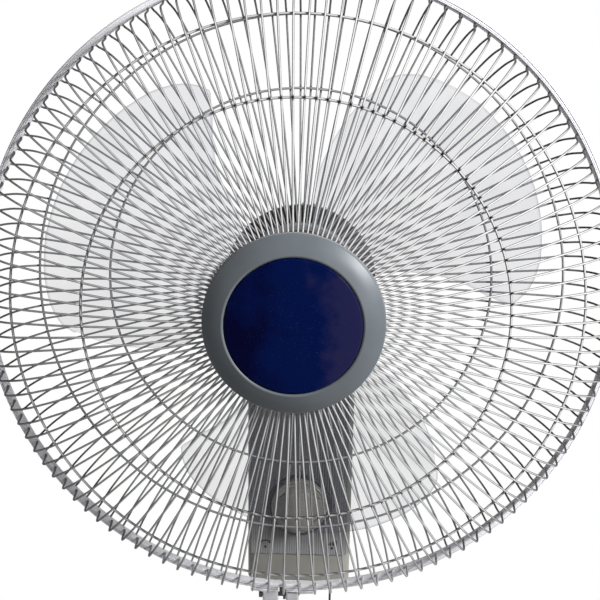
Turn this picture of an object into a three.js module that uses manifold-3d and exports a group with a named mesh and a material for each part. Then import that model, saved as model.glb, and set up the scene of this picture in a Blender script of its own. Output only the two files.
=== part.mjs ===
// A wall mounted fan: a tall wall base with a control knob and two pull cords, a tilting and
// swinging motor head, a three-bladed impeller and a pair of wire guards held by a split rim.
// Millimetres, +Z up, the fan looks along -Y and the wall plane is y = 0. The origin is the middle
// of the wall plate's back face. Inside the head, depth is counted forward (-Y) from the rim's front.
import * as THREE from "three";
import { mergeVertices } from "three/addons/utils/BufferGeometryUtils.js";
import Module from "manifold-3d";

const wasm = await Module();
wasm.setup();

// Driving dimensions
const clear = 0.3; // between pieces that touch
const runClear = 0.1; // between a pin and its bore
const over = 5; // how far a cutting shape passes what it cuts

const headReach = 130; // front face of the base to the front edge of the rim
const rim = { outer: 220, wall: 1.6, lip: 4.4, lipThick: 1, width: 6.8, seatGap: 0.5, seat: 5 };
const lug = {
  left: -22.3, splitLeft: -11.2, splitRight: -5.4, right: 3.6, saddleLeft: -31, saddleRight: 14.5,
  saddle: 2, root: 6, reach: 16, front: -0.8, back: 8,
};
const rimScrew = { below: 4.2, depth: -3.8, r: 1.6, headR: 2.8, headThick: 2.6, nutThick: 1.9, nutHalf: 2.9 };

// the guards are drawn with fewer and broader wires than the real ones
const wire = { count: 28, width: 2.4, thick: 1.6 };
// guard rows: share of the way from the middle to the rim, share of the guard's depth, 1 if a ring starts here
const frontRows = [
  [0.9955, 0.136, 0], [0.9898, 0.2494, 0], [0.956, 0.3571, 0], [0.8566, 0.5079, 1], [0.826, 0.5329, 0],
  [0.682, 0.6463, 0], [0.5328, 0.7506, 1], [0.5022, 0.7676, 0], [0.2677, 0.8957, 0], [0, 0.9909, 1],
];
const rearRows = [
  [0.9931, 0.307, 0], [0.9714, 0.5702, 0], [0.9316, 0.7895, 0], [0.8808, 0.9211, 1], [0.8553, 0.9561, 0],
  [0.6116, 0.9912, 1], [0.5861, 0.9934, 0], [0.1685, 1, 1],
];

const cap = { r: 57.1, width: 14.1, back: 89.3, edge: 1.7, height: 9.5, overlap: 1.1, hidden: 30, sink: 2.4 };
const disc = { gap: 0.4, proud: 0.1, edge: 0.8 };

const motor = {
  r: 49, wall: 2.4, face: -46.9, join: -80, back: -118, bossR: 23.6, bossFront: -37, round: 6,
  rearRound: 12, rearRise: 20, seam: 0.6, faceGap: 0.5, flange: 5.5, flangeDepth: 5, flangeRound: 1.6,
};
const shaft = { r: 4, rear: 4, past: 10 };
const bearing = { outer: 8.8, length: 10.5, wall: 3, inset: 0.6, fit: 0.2 };
const stator = { front: 13.1, rear: 24, airGap: 0.7 };
const rotor = { r: 29.3, inset: 2 };
const lockNut = { r: 43, thick: 6.3, round: 3 };

const hub = {
  r: 38, back: -33, shoulder: 17, front: 25, wall: 2.4, boss: 12, bossBack: -20, slope: 14, round: 3,
};
const blades = { count: 3, turn: 41.2, depth: -1.3, pitch: 38, thick: 2, bury: 5, tipGap: 42.2, rows: 5, cols: 10 };
// blade edges: share of the way from root to tip, then degrees from the blade's middle
const bladeEdges = [
  { share: 0, leadAngle: -22, trailAngle: 34 }, { share: 0.1174, leadAngle: -26, trailAngle: 38 },
  { share: 0.2555, leadAngle: -30.5, trailAngle: 41 }, { share: 0.3936, leadAngle: -33.8, trailAngle: 40.2 },
  { share: 0.4972, leadAngle: -36.4, trailAngle: 38 }, { share: 0.6008, leadAngle: -39.6, trailAngle: 35.6 },
  { share: 0.7044, leadAngle: -43.2, trailAngle: 32.8 }, { share: 0.7942, leadAngle: -45.2, trailAngle: 29.6 },
];
// blade tip: share of the way from the leading to the trailing edge, then from root to tip
const bladeTip = [
  { share: 0, out: 0.808 }, { share: 0.03, out: 0.8564 }, { share: 0.08, out: 0.9047 },
  { share: 0.16, out: 0.9427 }, { share: 0.28, out: 0.971 }, { share: 0.42, out: 0.9931 },
  { share: 0.56, out: 1 }, { share: 0.7, out: 0.9945 }, { share: 0.82, out: 0.971 },
  { share: 0.91, out: 0.9365 }, { share: 0.97, out: 0.8909 }, { share: 1, out: 0.8356 },
];
const spinner = { r: 14, length: 14 };

const gearbox = { half: 26, front: 88, back: 128, drop: 17, corner: 5, edge: 2.5 };
const swivel = { behind: 110, postR: 9, roof: 3, discR: 20, thick: 6.6, edge: 2.5 };
const arm = { half: 9, front: 14, back: 12, nose: 6, low: 8, high: 7 };
const tilt = { setback: 12, drop: 19.6, barrelR: 11, barrelHalf: 11.2, boltR: 4, headR: 8, headThick: 5 };
const yoke = { earThick: 4.4, half: 24, inset: 1, length: 45, gap: 2, thick: 4.7, screwSide: 7, screwBack: 10 };
const clampKnob = { r: 12, length: 12, lobes: 5, dip: 1.6, edge: 1.2, floor: 2.4 };

const base = {
  depth: 85, height: 168, topHalf: 43.2, bottomHalf: 42, corner: 9, edge: 4, wall: 2.6, coverHeight: 24,
};
const panel = { side: 3.1, top: 9, bottom: 24.5, thick: 1.2, corner: 5 };
const knob = {
  rise: 67.5, r: 23.3, thick: 7, edge: 2.2, gap: 0.5, gripHalf: 10, gripLength: 20.6, gripRise: 13,
  gripRound: 4, gripEdge: 1.6, gripInset: 1.4, gripTaper: 2, stemR: 3,
};
const bezel = { gap: 0.7, width: 1.8, thick: 1.8 };
const speedSwitch = { half: 15, depth: 30, floor: 4 };
const plate = { thick: 2, holeR: 2.6, holeSpan: 110 };
const screws = { r: 2, hole: 2.3, headR: 4, faceR: 3.4, headThick: 2, length: 12 };
const coverScrew = { side: 11.5, setback: 10 };
const inlet = { setback: 17, r: 3.4, outer: 7, wall: 1.8, collar: 2, hold: 1.4 };
const capacitor = { r: 14, length: 42, drop: 76 };
const pull = { side: 14.9, setback: 20, cordR: 0.9, hole: 1.8, start: 4.5, length: 87.5, bellR: 6, bellLength: 24 };
const pullBell = { neckR: 2.4, shoulderR: 3.2, socket: 4.6, shoulder: 4, lip: 3, round: 0.8, grip: 12 };
const pullSwitch = { half: 9.6, height: 21, bore: 2.4, rise: 9 };

// Places that follow from those sizes: heights from the fan axis, depths from the rim's front edge
const wallToRim = base.depth + headReach;
const floorR = rim.outer - rim.wall;
const lipR = rim.outer - rim.lip;
const seatOuter = floorR - rim.seatGap;
const seatInner = seatOuter - rim.seat;
const seatStep = rim.lipThick + clear + wire.thick / 2;
const capEdge = cap.back + cap.edge;
const capFront = cap.back + cap.height;
const recessR = cap.r - cap.width;
const insideR = motor.r - motor.wall;
const nutBack = motor.face + motor.faceGap + wire.thick + clear;
const nutFront = nutBack + lockNut.thick;
const gearboxBottom = -motor.r - gearbox.drop;
const swivelTop = gearboxBottom - clear - runClear;
const tiltY = headReach + tilt.setback;
const tiltZ = swivelTop - tilt.drop;
const earIn = tilt.barrelHalf + clear + runClear;
const earOut = earIn + yoke.earThick;
const yokeTop = tiltZ - tilt.barrelR - yoke.gap;
const yokeBottom = yokeTop - yoke.thick;
const baseTop = yokeBottom - clear;
const baseBottom = baseTop - base.height;
const baseMiddle = (baseTop + baseBottom) / 2;
const coverTop = baseBottom + base.coverHeight;
const knobZ = baseBottom + knob.rise;

// Materials
const paint = (color, roughness, metalness = 0) => new THREE.MeshStandardMaterial({ color, roughness, metalness });
const greyPlastic = paint(0x8b8b88, 0.45);
const brownPlastic = paint(0x8a8780, 0.5);
const rimPlastic = paint(0xc9c9cc, 0.4);
const silver = paint(0x9a9da2, 0.35, 0.4);
const navy = paint(0x01153f, 0.12);
const whiteWire = paint(0xdcdcdc, 0.4);
const steel = paint(0x9c9ea0, 0.35, 0.9);
const darkSteel = paint(0x3a3b3d, 0.4, 0.8);
const blackPlastic = paint(0x161617, 0.5);
const bladePlastic = new THREE.MeshStandardMaterial({ color: 0xd8dbe2, roughness: 0.3, transparent: true, opacity: 0.6 });
const copper = paint(0xa8683a, 0.4, 0.8);
const corded = paint(0x0d0d0d, 0.9);

// ---- geometry helpers ----

// Position-only geometry with shared vertices, no slivers and its faces pointing out.
function closed(geometry) {
  const bare = new THREE.BufferGeometry();
  bare.setAttribute("position", geometry.getAttribute("position").clone());
  if (geometry.index) bare.setIndex(geometry.index.clone());
  const merged = mergeVertices(bare, 1e-4);
  const at = merged.getAttribute("position");
  const index = [];
  const [a, b, c] = [new THREE.Vector3(), new THREE.Vector3(), new THREE.Vector3()];
  let volume = 0;
  for (let i = 0; i < merged.index.count; i += 3) {
    const [p, q, r] = [0, 1, 2].map((k) => merged.index.getX(i + k));
    if (p === q || q === r || r === p) continue;
    index.push(p, q, r);
    [a, b, c].forEach((v, k) => v.fromBufferAttribute(at, [p, q, r][k]));
    volume += a.dot(b.cross(c));
  }
  if (volume < 0) for (let i = 0; i < index.length; i += 3) [index[i + 1], index[i + 2]] = [index[i + 2], index[i + 1]];
  merged.setIndex(index);
  return merged;
}

function toSolid(geometry) {
  const shape = closed(geometry);
  return new wasm.Manifold(new wasm.Mesh({
    numProp: 3,
    vertProperties: new Float32Array(shape.getAttribute("position").array),
    triVerts: new Uint32Array(shape.index.array),
  }));
}

function toGeometry(solid) {
  const mesh = solid.getMesh();
  const geometry = new THREE.BufferGeometry();
  geometry.setAttribute("position", new THREE.BufferAttribute(new Float32Array(mesh.vertProperties), 3));
  geometry.setIndex(new THREE.BufferAttribute(new Uint32Array(mesh.triVerts), 1));
  return geometry;
}

const cut = (first, ...rest) => toGeometry(rest.reduce((solid, g) => solid.subtract(toSolid(g)), toSolid(first)));
const join = (first, ...rest) => toGeometry(rest.reduce((solid, g) => solid.add(toSolid(g)), toSolid(first)));
const common = (first, second) => toGeometry(toSolid(first).intersect(toSolid(second)));

function box(x, y, z) {
  const size = [x, y, z].map(([low, high]) => Math.abs(high - low));
  return new THREE.BoxGeometry(...size).translate(...[x, y, z].map(([low, high]) => (low + high) / 2));
}

// A profile of [radius, height] turned about an axis through the point at; closed on itself unless it meets the axis.
function turned(profile, segments = 36, axis = "y", at = [0, 0, 0]) {
  const points = profile.map(([r, h]) => new THREE.Vector2(r, h));
  const [first, last] = [points[0], points[points.length - 1]];
  if (first.x > 0 || last.x > 0) points.push(first.clone());
  const geometry = new THREE.LatheGeometry(points, segments);
  if (axis === "z") geometry.rotateX(Math.PI / 2);
  if (axis === "x") geometry.rotateZ(-Math.PI / 2);
  return geometry.translate(...at);
}

const rod = (r, from, to, axis, at, segments = 24) =>
  turned([[0, from], [r, from], [r, to], [0, to]], segments, axis, at);

// Head pieces are turned about the fan axis, with depth counted forward along -Y.
const onAxis = (profile, segments) => turned(profile.map(([r, d]) => [r, -d]), segments);

// A flat outline extruded along X (outline in y, z) or Y (outline in x, z), from the lower to the higher value.
function prism(outline, axis, low, high, bevel = 0) {
  const shape = new THREE.Shape(outline.map(([u, v]) => new THREE.Vector2(u, v)));
  const geometry = new THREE.ExtrudeGeometry(shape, {
    depth: high - low - 2 * bevel, bevelEnabled: bevel > 0, bevelThickness: bevel, bevelSize: bevel,
    bevelOffset: -bevel, bevelSegments: 2, curveSegments: 6,
  });
  geometry.translate(0, 0, bevel);
  if (axis === "x") {
    const basis = new THREE.Matrix4().makeBasis(
      new THREE.Vector3(0, 1, 0), new THREE.Vector3(0, 0, 1), new THREE.Vector3(1, 0, 0));
    return geometry.applyMatrix4(basis).translate(low, 0, 0);
  }
  return geometry.rotateX(Math.PI / 2).translate(0, high, 0);
}

function roundedOutline(corners, r, steps = 5) {
  return corners.flatMap((corner, i) => {
    const p = new THREE.Vector2(...corner);
    const towards = (q) => new THREE.Vector2(...q).sub(p).normalize().multiplyScalar(r).add(p);
    const a = towards(corners.at(i - 1));
    const b = towards(corners[(i + 1) % corners.length]);
    const curve = new THREE.QuadraticBezierCurve(a, p, b);
    return curve.getPoints(steps).map((v) => [v.x, v.y]);
  });
}

// A wire guard as one closed sheet with slots: straight spokes across rings, on a turned profile of
// [radius, depth, ring], where ring is 1 if the sheet is solid from that point to the next one.
function wireGuard(profile) {
  const rows = profile.length;
  const cols = 2 * wire.count;
  const offsets = profile.map(([r, d], i) => {
    const side = (j, k) => {
      const [dr, dd] = [profile[k][0] - profile[j][0], profile[k][1] - profile[j][1]];
      return new THREE.Vector2(-dd, dr).normalize();
    };
    const before = i > 0 ? side(i - 1, i) : side(0, 1);
    const after = i < rows - 1 ? side(i, i + 1) : before;
    const normal = before.clone().add(after).normalize();
    const reach = wire.thick / 2 / normal.dot(before);
    return [[r + normal.x * reach, d + normal.y * reach], [r - normal.x * reach, d - normal.y * reach]];
  });
  const positions = [];
  for (let i = 0; i < rows; i++)
    for (let c = 0; c < cols; c++) {
      const middle = (2 * Math.PI * (Math.floor(c / 2) + 0.5)) / wire.count;
      const angle = middle + ((c % 2 ? 1 : -1) * wire.width) / 2 / profile[i][0];
      for (const [r, d] of offsets[i]) positions.push(r * Math.cos(angle), -d, r * Math.sin(angle));
    }
  const at = (i, c, s) => (i * cols + (c % cols)) * 2 + s;
  const filled = (i, c) => i >= 0 && i < rows - 1 && (((c + cols) % cols) % 2 === 0 || profile[i][2] === 1);
  const index = [];
  const quad = (a, b, c, d) => index.push(a, b, c, a, c, d);
  for (let i = 0; i < rows - 1; i++)
    for (let c = 0; c < cols; c++) {
      if (!filled(i, c)) continue;
      const [a, b, g, h] = [[i, c], [i, c + 1], [i + 1, c + 1], [i + 1, c]];
      quad(...[a, b, g, h].map((p) => at(...p, 0)));
      quad(...[a, h, g, b].map((p) => at(...p, 1)));
      const wall = (p, q) => quad(at(...q, 0), at(...p, 0), at(...p, 1), at(...q, 1));
      if (!filled(i - 1, c)) wall(a, b);
      if (!filled(i, c + 1)) wall(b, g);
      if (!filled(i + 1, c)) wall(g, h);
      if (!filled(i, c - 1)) wall(h, a);
    }
  const geometry = new THREE.BufferGeometry();
  geometry.setAttribute("position", new THREE.Float32BufferAttribute(positions, 3));
  geometry.setIndex(index);
  return geometry;
}

function interpolate(table, x, column) {
  const i = Math.max(1, table.findIndex((row) => row.share >= x));
  const [low, high] = x > table.at(-1).share ? table.slice(-2) : [table[i - 1], table[i]];
  return low[column] + ((high[column] - low[column]) * (x - low.share)) / (high.share - low.share);
}

// One blade: a helical sheet from the hub to the tip, thickened both ways along its normal.
function blade(turn) {
  const { rows, cols } = blades;
  const rootR = hub.r - blades.bury;
  const span = rim.outer - blades.tipGap - rootR;
  const centre = (u, v) => {
    const r = rootR + v * interpolate(bladeTip, u, "out") * span;
    const share = Math.min(v * bladeTip.at(-1).out, 0.98 * bladeTip.at(-1).out);
    const [lead, trail] = ["leadAngle", "trailAngle"].map((edge) => interpolate(bladeEdges, share, edge));
    const angle = THREE.MathUtils.degToRad(lead + u * (trail - lead));
    const around = angle + THREE.MathUtils.degToRad(turn);
    return new THREE.Vector3(r * Math.cos(around), -(blades.depth + blades.pitch * angle), r * Math.sin(around));
  };
  const positions = [];
  for (let i = 0; i <= rows; i++)
    for (let j = 0; j <= cols; j++) {
      const [u, v, step] = [j / cols, i / rows, 0.01];
      const across = centre(Math.min(u + step, 1), v).sub(centre(Math.max(u - step, 0), v));
      const out = centre(u, Math.min(v + step, 1)).sub(centre(u, Math.max(v - step, 0)));
      const normal = across.cross(out).normalize().multiplyScalar(blades.thick / 2);
      for (const sign of [1, -1]) positions.push(...centre(u, v).addScaledVector(normal, sign).toArray());
    }
  const at = (i, j, s) => (i * (cols + 1) + j) * 2 + s;
  const index = [];
  const quad = (a, b, c, d) => index.push(a, b, c, a, c, d);
  for (let i = 0; i < rows; i++)
    for (let j = 0; j < cols; j++) {
      quad(at(i, j, 0), at(i, j + 1, 0), at(i + 1, j + 1, 0), at(i + 1, j, 0));
      quad(at(i, j, 1), at(i + 1, j, 1), at(i + 1, j + 1, 1), at(i, j + 1, 1));
    }
  for (let j = 0; j < cols; j++) {
    quad(at(0, j + 1, 0), at(0, j, 0), at(0, j, 1), at(0, j + 1, 1));
    quad(at(rows, j, 0), at(rows, j + 1, 0), at(rows, j + 1, 1), at(rows, j, 1));
  }
  for (let i = 0; i < rows; i++) {
    quad(at(i, 0, 0), at(i + 1, 0, 0), at(i + 1, 0, 1), at(i, 0, 1));
    quad(at(i + 1, cols, 0), at(i, cols, 0), at(i, cols, 1), at(i + 1, cols, 1));
  }
  const geometry = new THREE.BufferGeometry();
  geometry.setAttribute("position", new THREE.Float32BufferAttribute(positions, 3));
  geometry.setIndex(index);
  return geometry;
}

const fan = new THREE.Group();
const wallBase = new THREE.Group();
const neckGroup = new THREE.Group();
const head = new THREE.Group();
// every group shares the head's place, so all heights and depths count from the rim and the axis
for (const group of [wallBase, neckGroup, head]) {
  group.position.set(0, -wallToRim, -baseMiddle);
  fan.add(group);
}

function piece(group, name, geometry, material) {
  const mesh = new THREE.Mesh(closed(geometry), material);
  mesh.name = name;
  group.add(mesh);
}

// ---- wall base ----

const across = [-base.topHalf - over, base.topHalf + over];
const halfAt = (z) => base.topHalf + ((base.bottomHalf - base.topHalf) * (baseTop - z)) / base.height;
const baseOutline = (inset) => roundedOutline([
  [-base.topHalf + inset, baseTop - inset], [base.topHalf - inset, baseTop - inset],
  [base.bottomHalf - inset, baseBottom + inset], [-base.bottomHalf + inset, baseBottom + inset],
], base.corner - inset);
const outerBody = (low, high) => common(
  prism(baseOutline(0), "y", headReach, wallToRim + 2 * base.edge, base.edge),
  box(across, [headReach - over, wallToRim], [low, high]),
);
const hollow = prism(baseOutline(base.wall), "y", headReach + base.wall, wallToRim + over);
const throughFloor = (r, x, y, segments) => rod(r, baseBottom - over, baseBottom + base.wall + over, "z", [x, y, 0], segments);

const screwSpots = (x, y) => [-1, 1].map((side) => [side * x, y]);
const yokeSpots = screwSpots(yoke.half - yoke.screwSide, headReach + yoke.inset + yoke.length - yoke.screwBack);
const coverSpots = screwSpots(base.bottomHalf - coverScrew.side, wallToRim - coverScrew.setback);
const yokeHoles = yokeSpots.map(([x, y]) => rod(screws.hole, baseTop - base.wall - over, yokeTop + over, "z", [x, y, 0], 16));
const stemHole = rod(knob.stemR + bezel.gap, headReach - over, headReach + base.wall + over, "y", [0, 0, knobZ]);
piece(wallBase, "base_shell",
  cut(outerBody(coverTop + clear / 2, baseTop + over), hollow, stemHole, ...yokeHoles), greyPlastic);

const pullSides = [[-1, "swing"], [1, "speed"]];
const pullX = base.bottomHalf - pull.side;
const pullY = headReach + pull.setback;
const inletY = wallToRim - inlet.setback;
piece(wallBase, "lower_cover", cut(outerBody(baseBottom - over, coverTop - clear / 2), hollow,
  ...pullSides.map(([side]) => throughFloor(pull.hole, side * pullX, pullY, 16)),
  throughFloor(inlet.outer - inlet.wall + clear, 0, inletY, 28),
  ...coverSpots.map(([x, y]) => throughFloor(screws.hole, x, y, 16))), brownPlastic);

const panelHalf = base.bottomHalf - panel.side;
const panelSpan = [baseBottom + panel.bottom, baseTop - panel.top];
const panelFront = headReach - clear - panel.thick;
const bezelR = knob.r + bezel.gap;
piece(wallBase, "front_panel", cut(
  prism(roundedOutline([
    [-panelHalf, panelSpan[1]], [panelHalf, panelSpan[1]], [panelHalf, panelSpan[0]], [-panelHalf, panelSpan[0]],
  ], panel.corner), "y", panelFront, headReach - clear),
  rod(bezelR + bezel.width + clear, panelFront - over, headReach, "y", [0, 0, knobZ], 36)), greyPlastic);
piece(wallBase, "knob_bezel", turned([
  [bezelR, headReach - clear], [bezelR, headReach - clear - bezel.thick],
  [bezelR + bezel.width, headReach - clear - bezel.thick], [bezelR + bezel.width, headReach - clear],
], 36, "y", [0, 0, knobZ]), blackPlastic);

// wall plate with its two screw holes, inside the open back of the shell
const plateBack = wallToRim - plate.thick;
piece(wallBase, "wall_plate", cut(prism(baseOutline(base.wall + clear), "y", plateBack, wallToRim),
  ...[-1, 1].map((side) => rod(plate.holeR, plateBack - over, wallToRim + over, "y",
    [0, 0, baseMiddle + (side * plate.holeSpan) / 2], 24))), steel);

// screws that hold the yoke down and the lower cover on
function screw(name, x, y, z, dir) {
  piece(wallBase, name, turned([
    [0, z + dir * screws.headThick], [screws.faceR, z + dir * screws.headThick], [screws.headR, z],
    [screws.r, z], [screws.r, z - dir * screws.length], [0, z - dir * screws.length],
  ], 12, "z", [x, y, 0]), darkSteel);
}
yokeSpots.forEach(([x, y], i) => screw(`yoke_screw_${"lr"[i]}`, x, y, yokeTop + clear, 1));
coverSpots.forEach(([x, y], i) => screw(`cover_screw_${"lr"[i]}`, x, y, baseBottom - clear, -1));

const inletNeck = inlet.outer - inlet.wall;
const inletTop = baseBottom + base.wall + inlet.hold;
piece(wallBase, "cable_grommet", turned([
  [inlet.r, baseBottom - inlet.collar], [inlet.outer, baseBottom - inlet.collar], [inlet.outer, baseBottom - clear],
  [inletNeck, baseBottom - clear], [inletNeck, inletTop], [inlet.r, inletTop],
], 28, "z", [0, inletY, 0]), blackPlastic);

// electrical parts inside the base
const switchBack = headReach + speedSwitch.depth;
piece(wallBase, "speed_switch", cut(
  box([-speedSwitch.half, speedSwitch.half], [headReach + base.wall + clear, switchBack],
    [knobZ - speedSwitch.half, knobZ + speedSwitch.half]),
  rod(knob.stemR + clear, headReach, switchBack - speedSwitch.floor, "y", [0, 0, knobZ])), blackPlastic);
const pullStart = baseBottom + pull.start;
const pullSwitchBottom = pullStart + pullSwitch.rise;
for (const [side, name] of pullSides) {
  const x = [side * (pullX - pullSwitch.half), side * (halfAt(pullSwitchBottom) - base.wall - clear)];
  piece(wallBase, `${name}_pull_switch`, cut(
    box(x, [pullY - pullSwitch.half, pullY + pullSwitch.half], [pullSwitchBottom, pullSwitchBottom + pullSwitch.height]),
    rod(pullSwitch.bore, pullStart, pullSwitchBottom + pullSwitch.height / 3, "z", [side * pullX, pullY, 0], 16),
  ), blackPlastic);
}
const canBottom = baseTop - capacitor.drop;
piece(wallBase, "capacitor", rod(capacitor.r, canBottom, canBottom + capacitor.length, "z",
  [0, plateBack - clear - capacitor.r, 0], 32), silver);

// tilt yoke on top of the base
const yokeFront = headReach + yoke.inset;
const earFoot = yokeTop - yoke.thick / 4;
const earArc = Array.from({ length: 13 }, (_, k) => Math.PI - (Math.PI * k) / 12);
const earOutline = [
  [yokeFront, earFoot],
  ...earArc.map((a) => [tiltY + tilt.barrelR * Math.cos(a), tiltZ + tilt.barrelR * Math.sin(a)]),
  [tiltY + tilt.barrelR, earFoot],
];
const tiltAt = [0, tiltY, tiltZ];
const boltHole = rod(tilt.boltR + runClear, -earOut - over, earOut + over, "x", tiltAt, 24);
piece(wallBase, "tilt_yoke", cut(join(
  box([-yoke.half, yoke.half], [yokeFront, yokeFront + yoke.length], [yokeBottom, yokeTop]),
  prism(earOutline, "x", earIn, earOut), prism(earOutline, "x", -earOut, -earIn),
), boltHole, ...yokeHoles), darkSteel);
piece(wallBase, "tilt_bolt", join(
  rod(tilt.boltR, -earOut - clear - tilt.headThick / 2, earOut + clear + clampKnob.length - clampKnob.floor - runClear,
    "x", tiltAt, 24),
  rod(tilt.headR, -earOut - clear - tilt.headThick, -earOut - clear, "x", tiltAt, 6)), steel);

// lobed clamp knob on the bolt's end
const knobStart = earOut + clear;
const knobOutline = Array.from({ length: clampKnob.lobes * 4 }, (_, k) => {
  const a = (2 * Math.PI * k) / (clampKnob.lobes * 4);
  const r = clampKnob.r - clampKnob.dip * (1 - Math.cos(clampKnob.lobes * a));
  return [tiltY + r * Math.cos(a), tiltZ + r * Math.sin(a)];
});
piece(wallBase, "tilt_knob", cut(
  prism(knobOutline, "x", knobStart, knobStart + clampKnob.length, clampKnob.edge),
  rod(tilt.boltR + runClear, knobStart - over, knobStart + clampKnob.length - clampKnob.floor, "x", tiltAt, 24),
), blackPlastic);

// ---- control knob: a disc with a broad grip bar, and the stem that turns the switch ----

const knobBack = headReach - knob.gap;
const knobFace = knobBack - knob.thick;
const gripFace = knobFace - knob.gripRise;
const knobAt = [0, 0, knobZ];
const knobDisc = turned([
  [0, knobBack], [knob.r, knobBack], [knob.r, knobFace + knob.edge], [knob.r - knob.edge, knobFace], [0, knobFace],
], 36, "y", knobAt);
const grip = prism(roundedOutline([
  [-knob.gripHalf, knob.gripLength], [knob.gripHalf, knob.gripLength],
  [knob.gripHalf, -knob.gripLength], [-knob.gripHalf, -knob.gripLength],
], knob.gripRound), "y", gripFace, knobBack - knob.gripTaper, knob.gripEdge).translate(...knobAt);
const gripR = knob.r - knob.gripInset;
const gripLimit = turned([
  [0, knobBack], [gripR, knobBack], [gripR - knob.gripTaper, gripFace - over], [0, gripFace - over],
], 36, "y", knobAt);
const stem = rod(knob.stemR, knobFace + knob.thick / 2, switchBack - speedSwitch.floor - clear, "y", knobAt);
piece(wallBase, "speed_knob", join(knobDisc, common(grip, gripLimit), stem), brownPlastic);

// ---- pull cords and their bell pulls ----

const bellTop = pullStart - pull.length;
const bellBottom = bellTop - pull.bellLength;
for (const [side, name] of pullSides) {
  const at = [side * pullX, pullY, 0];
  piece(wallBase, `${name}_cord`, rod(pull.cordR, bellTop - pullBell.shoulder, pullStart + pullBell.grip, "z", at, 10), corded);
  piece(wallBase, `${name}_pull`, turned([
    [pull.cordR + clear, bellTop], [pullBell.neckR, bellTop], [pullBell.shoulderR, bellTop - pullBell.shoulder],
    [pull.bellR, bellBottom + pullBell.lip], [pull.bellR - pullBell.round, bellBottom], [0, bellBottom],
    [0, bellTop - pullBell.socket], [pull.cordR + clear, bellTop - pullBell.socket],
  ], 24, "z", at), blackPlastic);
}

// ---- neck: swivel post and disc, arm and tilt barrel ----

const swivelAt = [0, swivel.behind, 0];
const swivelBottom = swivelTop - swivel.thick;
const postTop = -motor.r - swivel.roof;
const armFront = swivel.behind - arm.front;
const neckArm = prism([
  [armFront, swivelTop], [armFront, swivelBottom - 1], [tiltY - arm.nose, tiltZ - arm.low],
  [tiltY + arm.nose, tiltZ - arm.low], [tiltY + arm.nose, tiltZ + arm.high], [swivel.behind + arm.back, swivelTop],
], "x", -arm.half, arm.half);
const neckPost = turned([
  [0, postTop], [swivel.postR, postTop], [swivel.postR, swivelTop], [swivel.discR, swivelTop],
  [swivel.discR, swivelBottom + swivel.edge], [swivel.discR - swivel.edge, swivelBottom], [0, swivelBottom],
], 40, "z", swivelAt);
const barrel = rod(tilt.barrelR, -tilt.barrelHalf, tilt.barrelHalf, "x", tiltAt, 32);
piece(neckGroup, "neck", cut(join(neckPost, neckArm, barrel), boltHole), greyPlastic);

// ---- motor head ----

const gearboxBlock = prism(roundedOutline([
  [gearbox.front, gearboxBottom], [gearbox.back, gearboxBottom],
  [gearbox.back, -motor.r / 2], [gearbox.front, -motor.r / 2],
], gearbox.corner), "x", -gearbox.half, gearbox.half, gearbox.edge);
const motorBore = rod(motor.r + clear, gearbox.front - over, gearbox.back + over, "y", [0, 0, 0], 60);
const postBore = rod(swivel.postR + runClear, gearboxBottom - over, postTop + 2 * clear, "z", swivelAt, 40);
piece(head, "gearbox", cut(gearboxBlock, motorBore, postBore), greyPlastic);

const bearingR = bearing.outer + bearing.fit;
const flangeR = motor.r + motor.flange;
const flangeBack = motor.face - motor.flangeDepth;
piece(head, "motor_front", onAxis([
  [bearingR, motor.bossFront], [motor.bossR, motor.bossFront], [motor.bossR, motor.face],
  [flangeR - motor.flangeRound, motor.face], [flangeR, motor.face - motor.flangeRound], [flangeR, flangeBack],
  [motor.r, flangeBack - motor.flange], [motor.r, motor.join], [insideR, motor.join],
  [insideR, motor.face - motor.round - clear], [insideR - 0.77 * motor.round, motor.face - motor.wall],
  [bearingR, motor.face - motor.wall],
], 32), greyPlastic);
const rearR = motor.r - motor.seam;
const rearFloor = motor.back + motor.wall;
const rearBearingFront = rearFloor + bearing.length + runClear;
const pocketFront = rearBearingFront + clear + runClear;
piece(head, "motor_rear", onAxis([
  [0, motor.back], [motor.r - motor.rearRound, motor.back],
  [motor.r - motor.rearRound / 3, motor.back + motor.rearRound / 2], [rearR, motor.back + motor.rearRise],
  [rearR, motor.join - clear], [insideR, motor.join - clear], [insideR, rearFloor + motor.rearRise],
  [insideR - motor.rearRound / 3, rearFloor + motor.rearRound / 2 - 1], [insideR - motor.rearRound, rearFloor],
  [bearingR + bearing.wall, rearFloor], [bearingR + bearing.wall, pocketFront], [bearingR, pocketFront],
  [bearingR, rearFloor], [0, rearFloor],
], 32), greyPlastic);
for (const [name, front] of [["front_bearing", motor.bossFront - bearing.inset], ["rear_bearing", rearBearingFront]])
  piece(head, name, onAxis([
    [shaft.r + runClear, front], [bearing.outer, front], [bearing.outer, front - bearing.length],
    [shaft.r + runClear, front - bearing.length],
  ], 24), steel);
const statorFront = motor.face - stator.front;
const statorBack = motor.back + stator.rear;
piece(head, "stator", onAxis([
  [rotor.r + stator.airGap, statorFront], [insideR - clear, statorFront], [insideR - clear, statorBack],
  [rotor.r + stator.airGap, statorBack],
], 32), copper);

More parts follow.
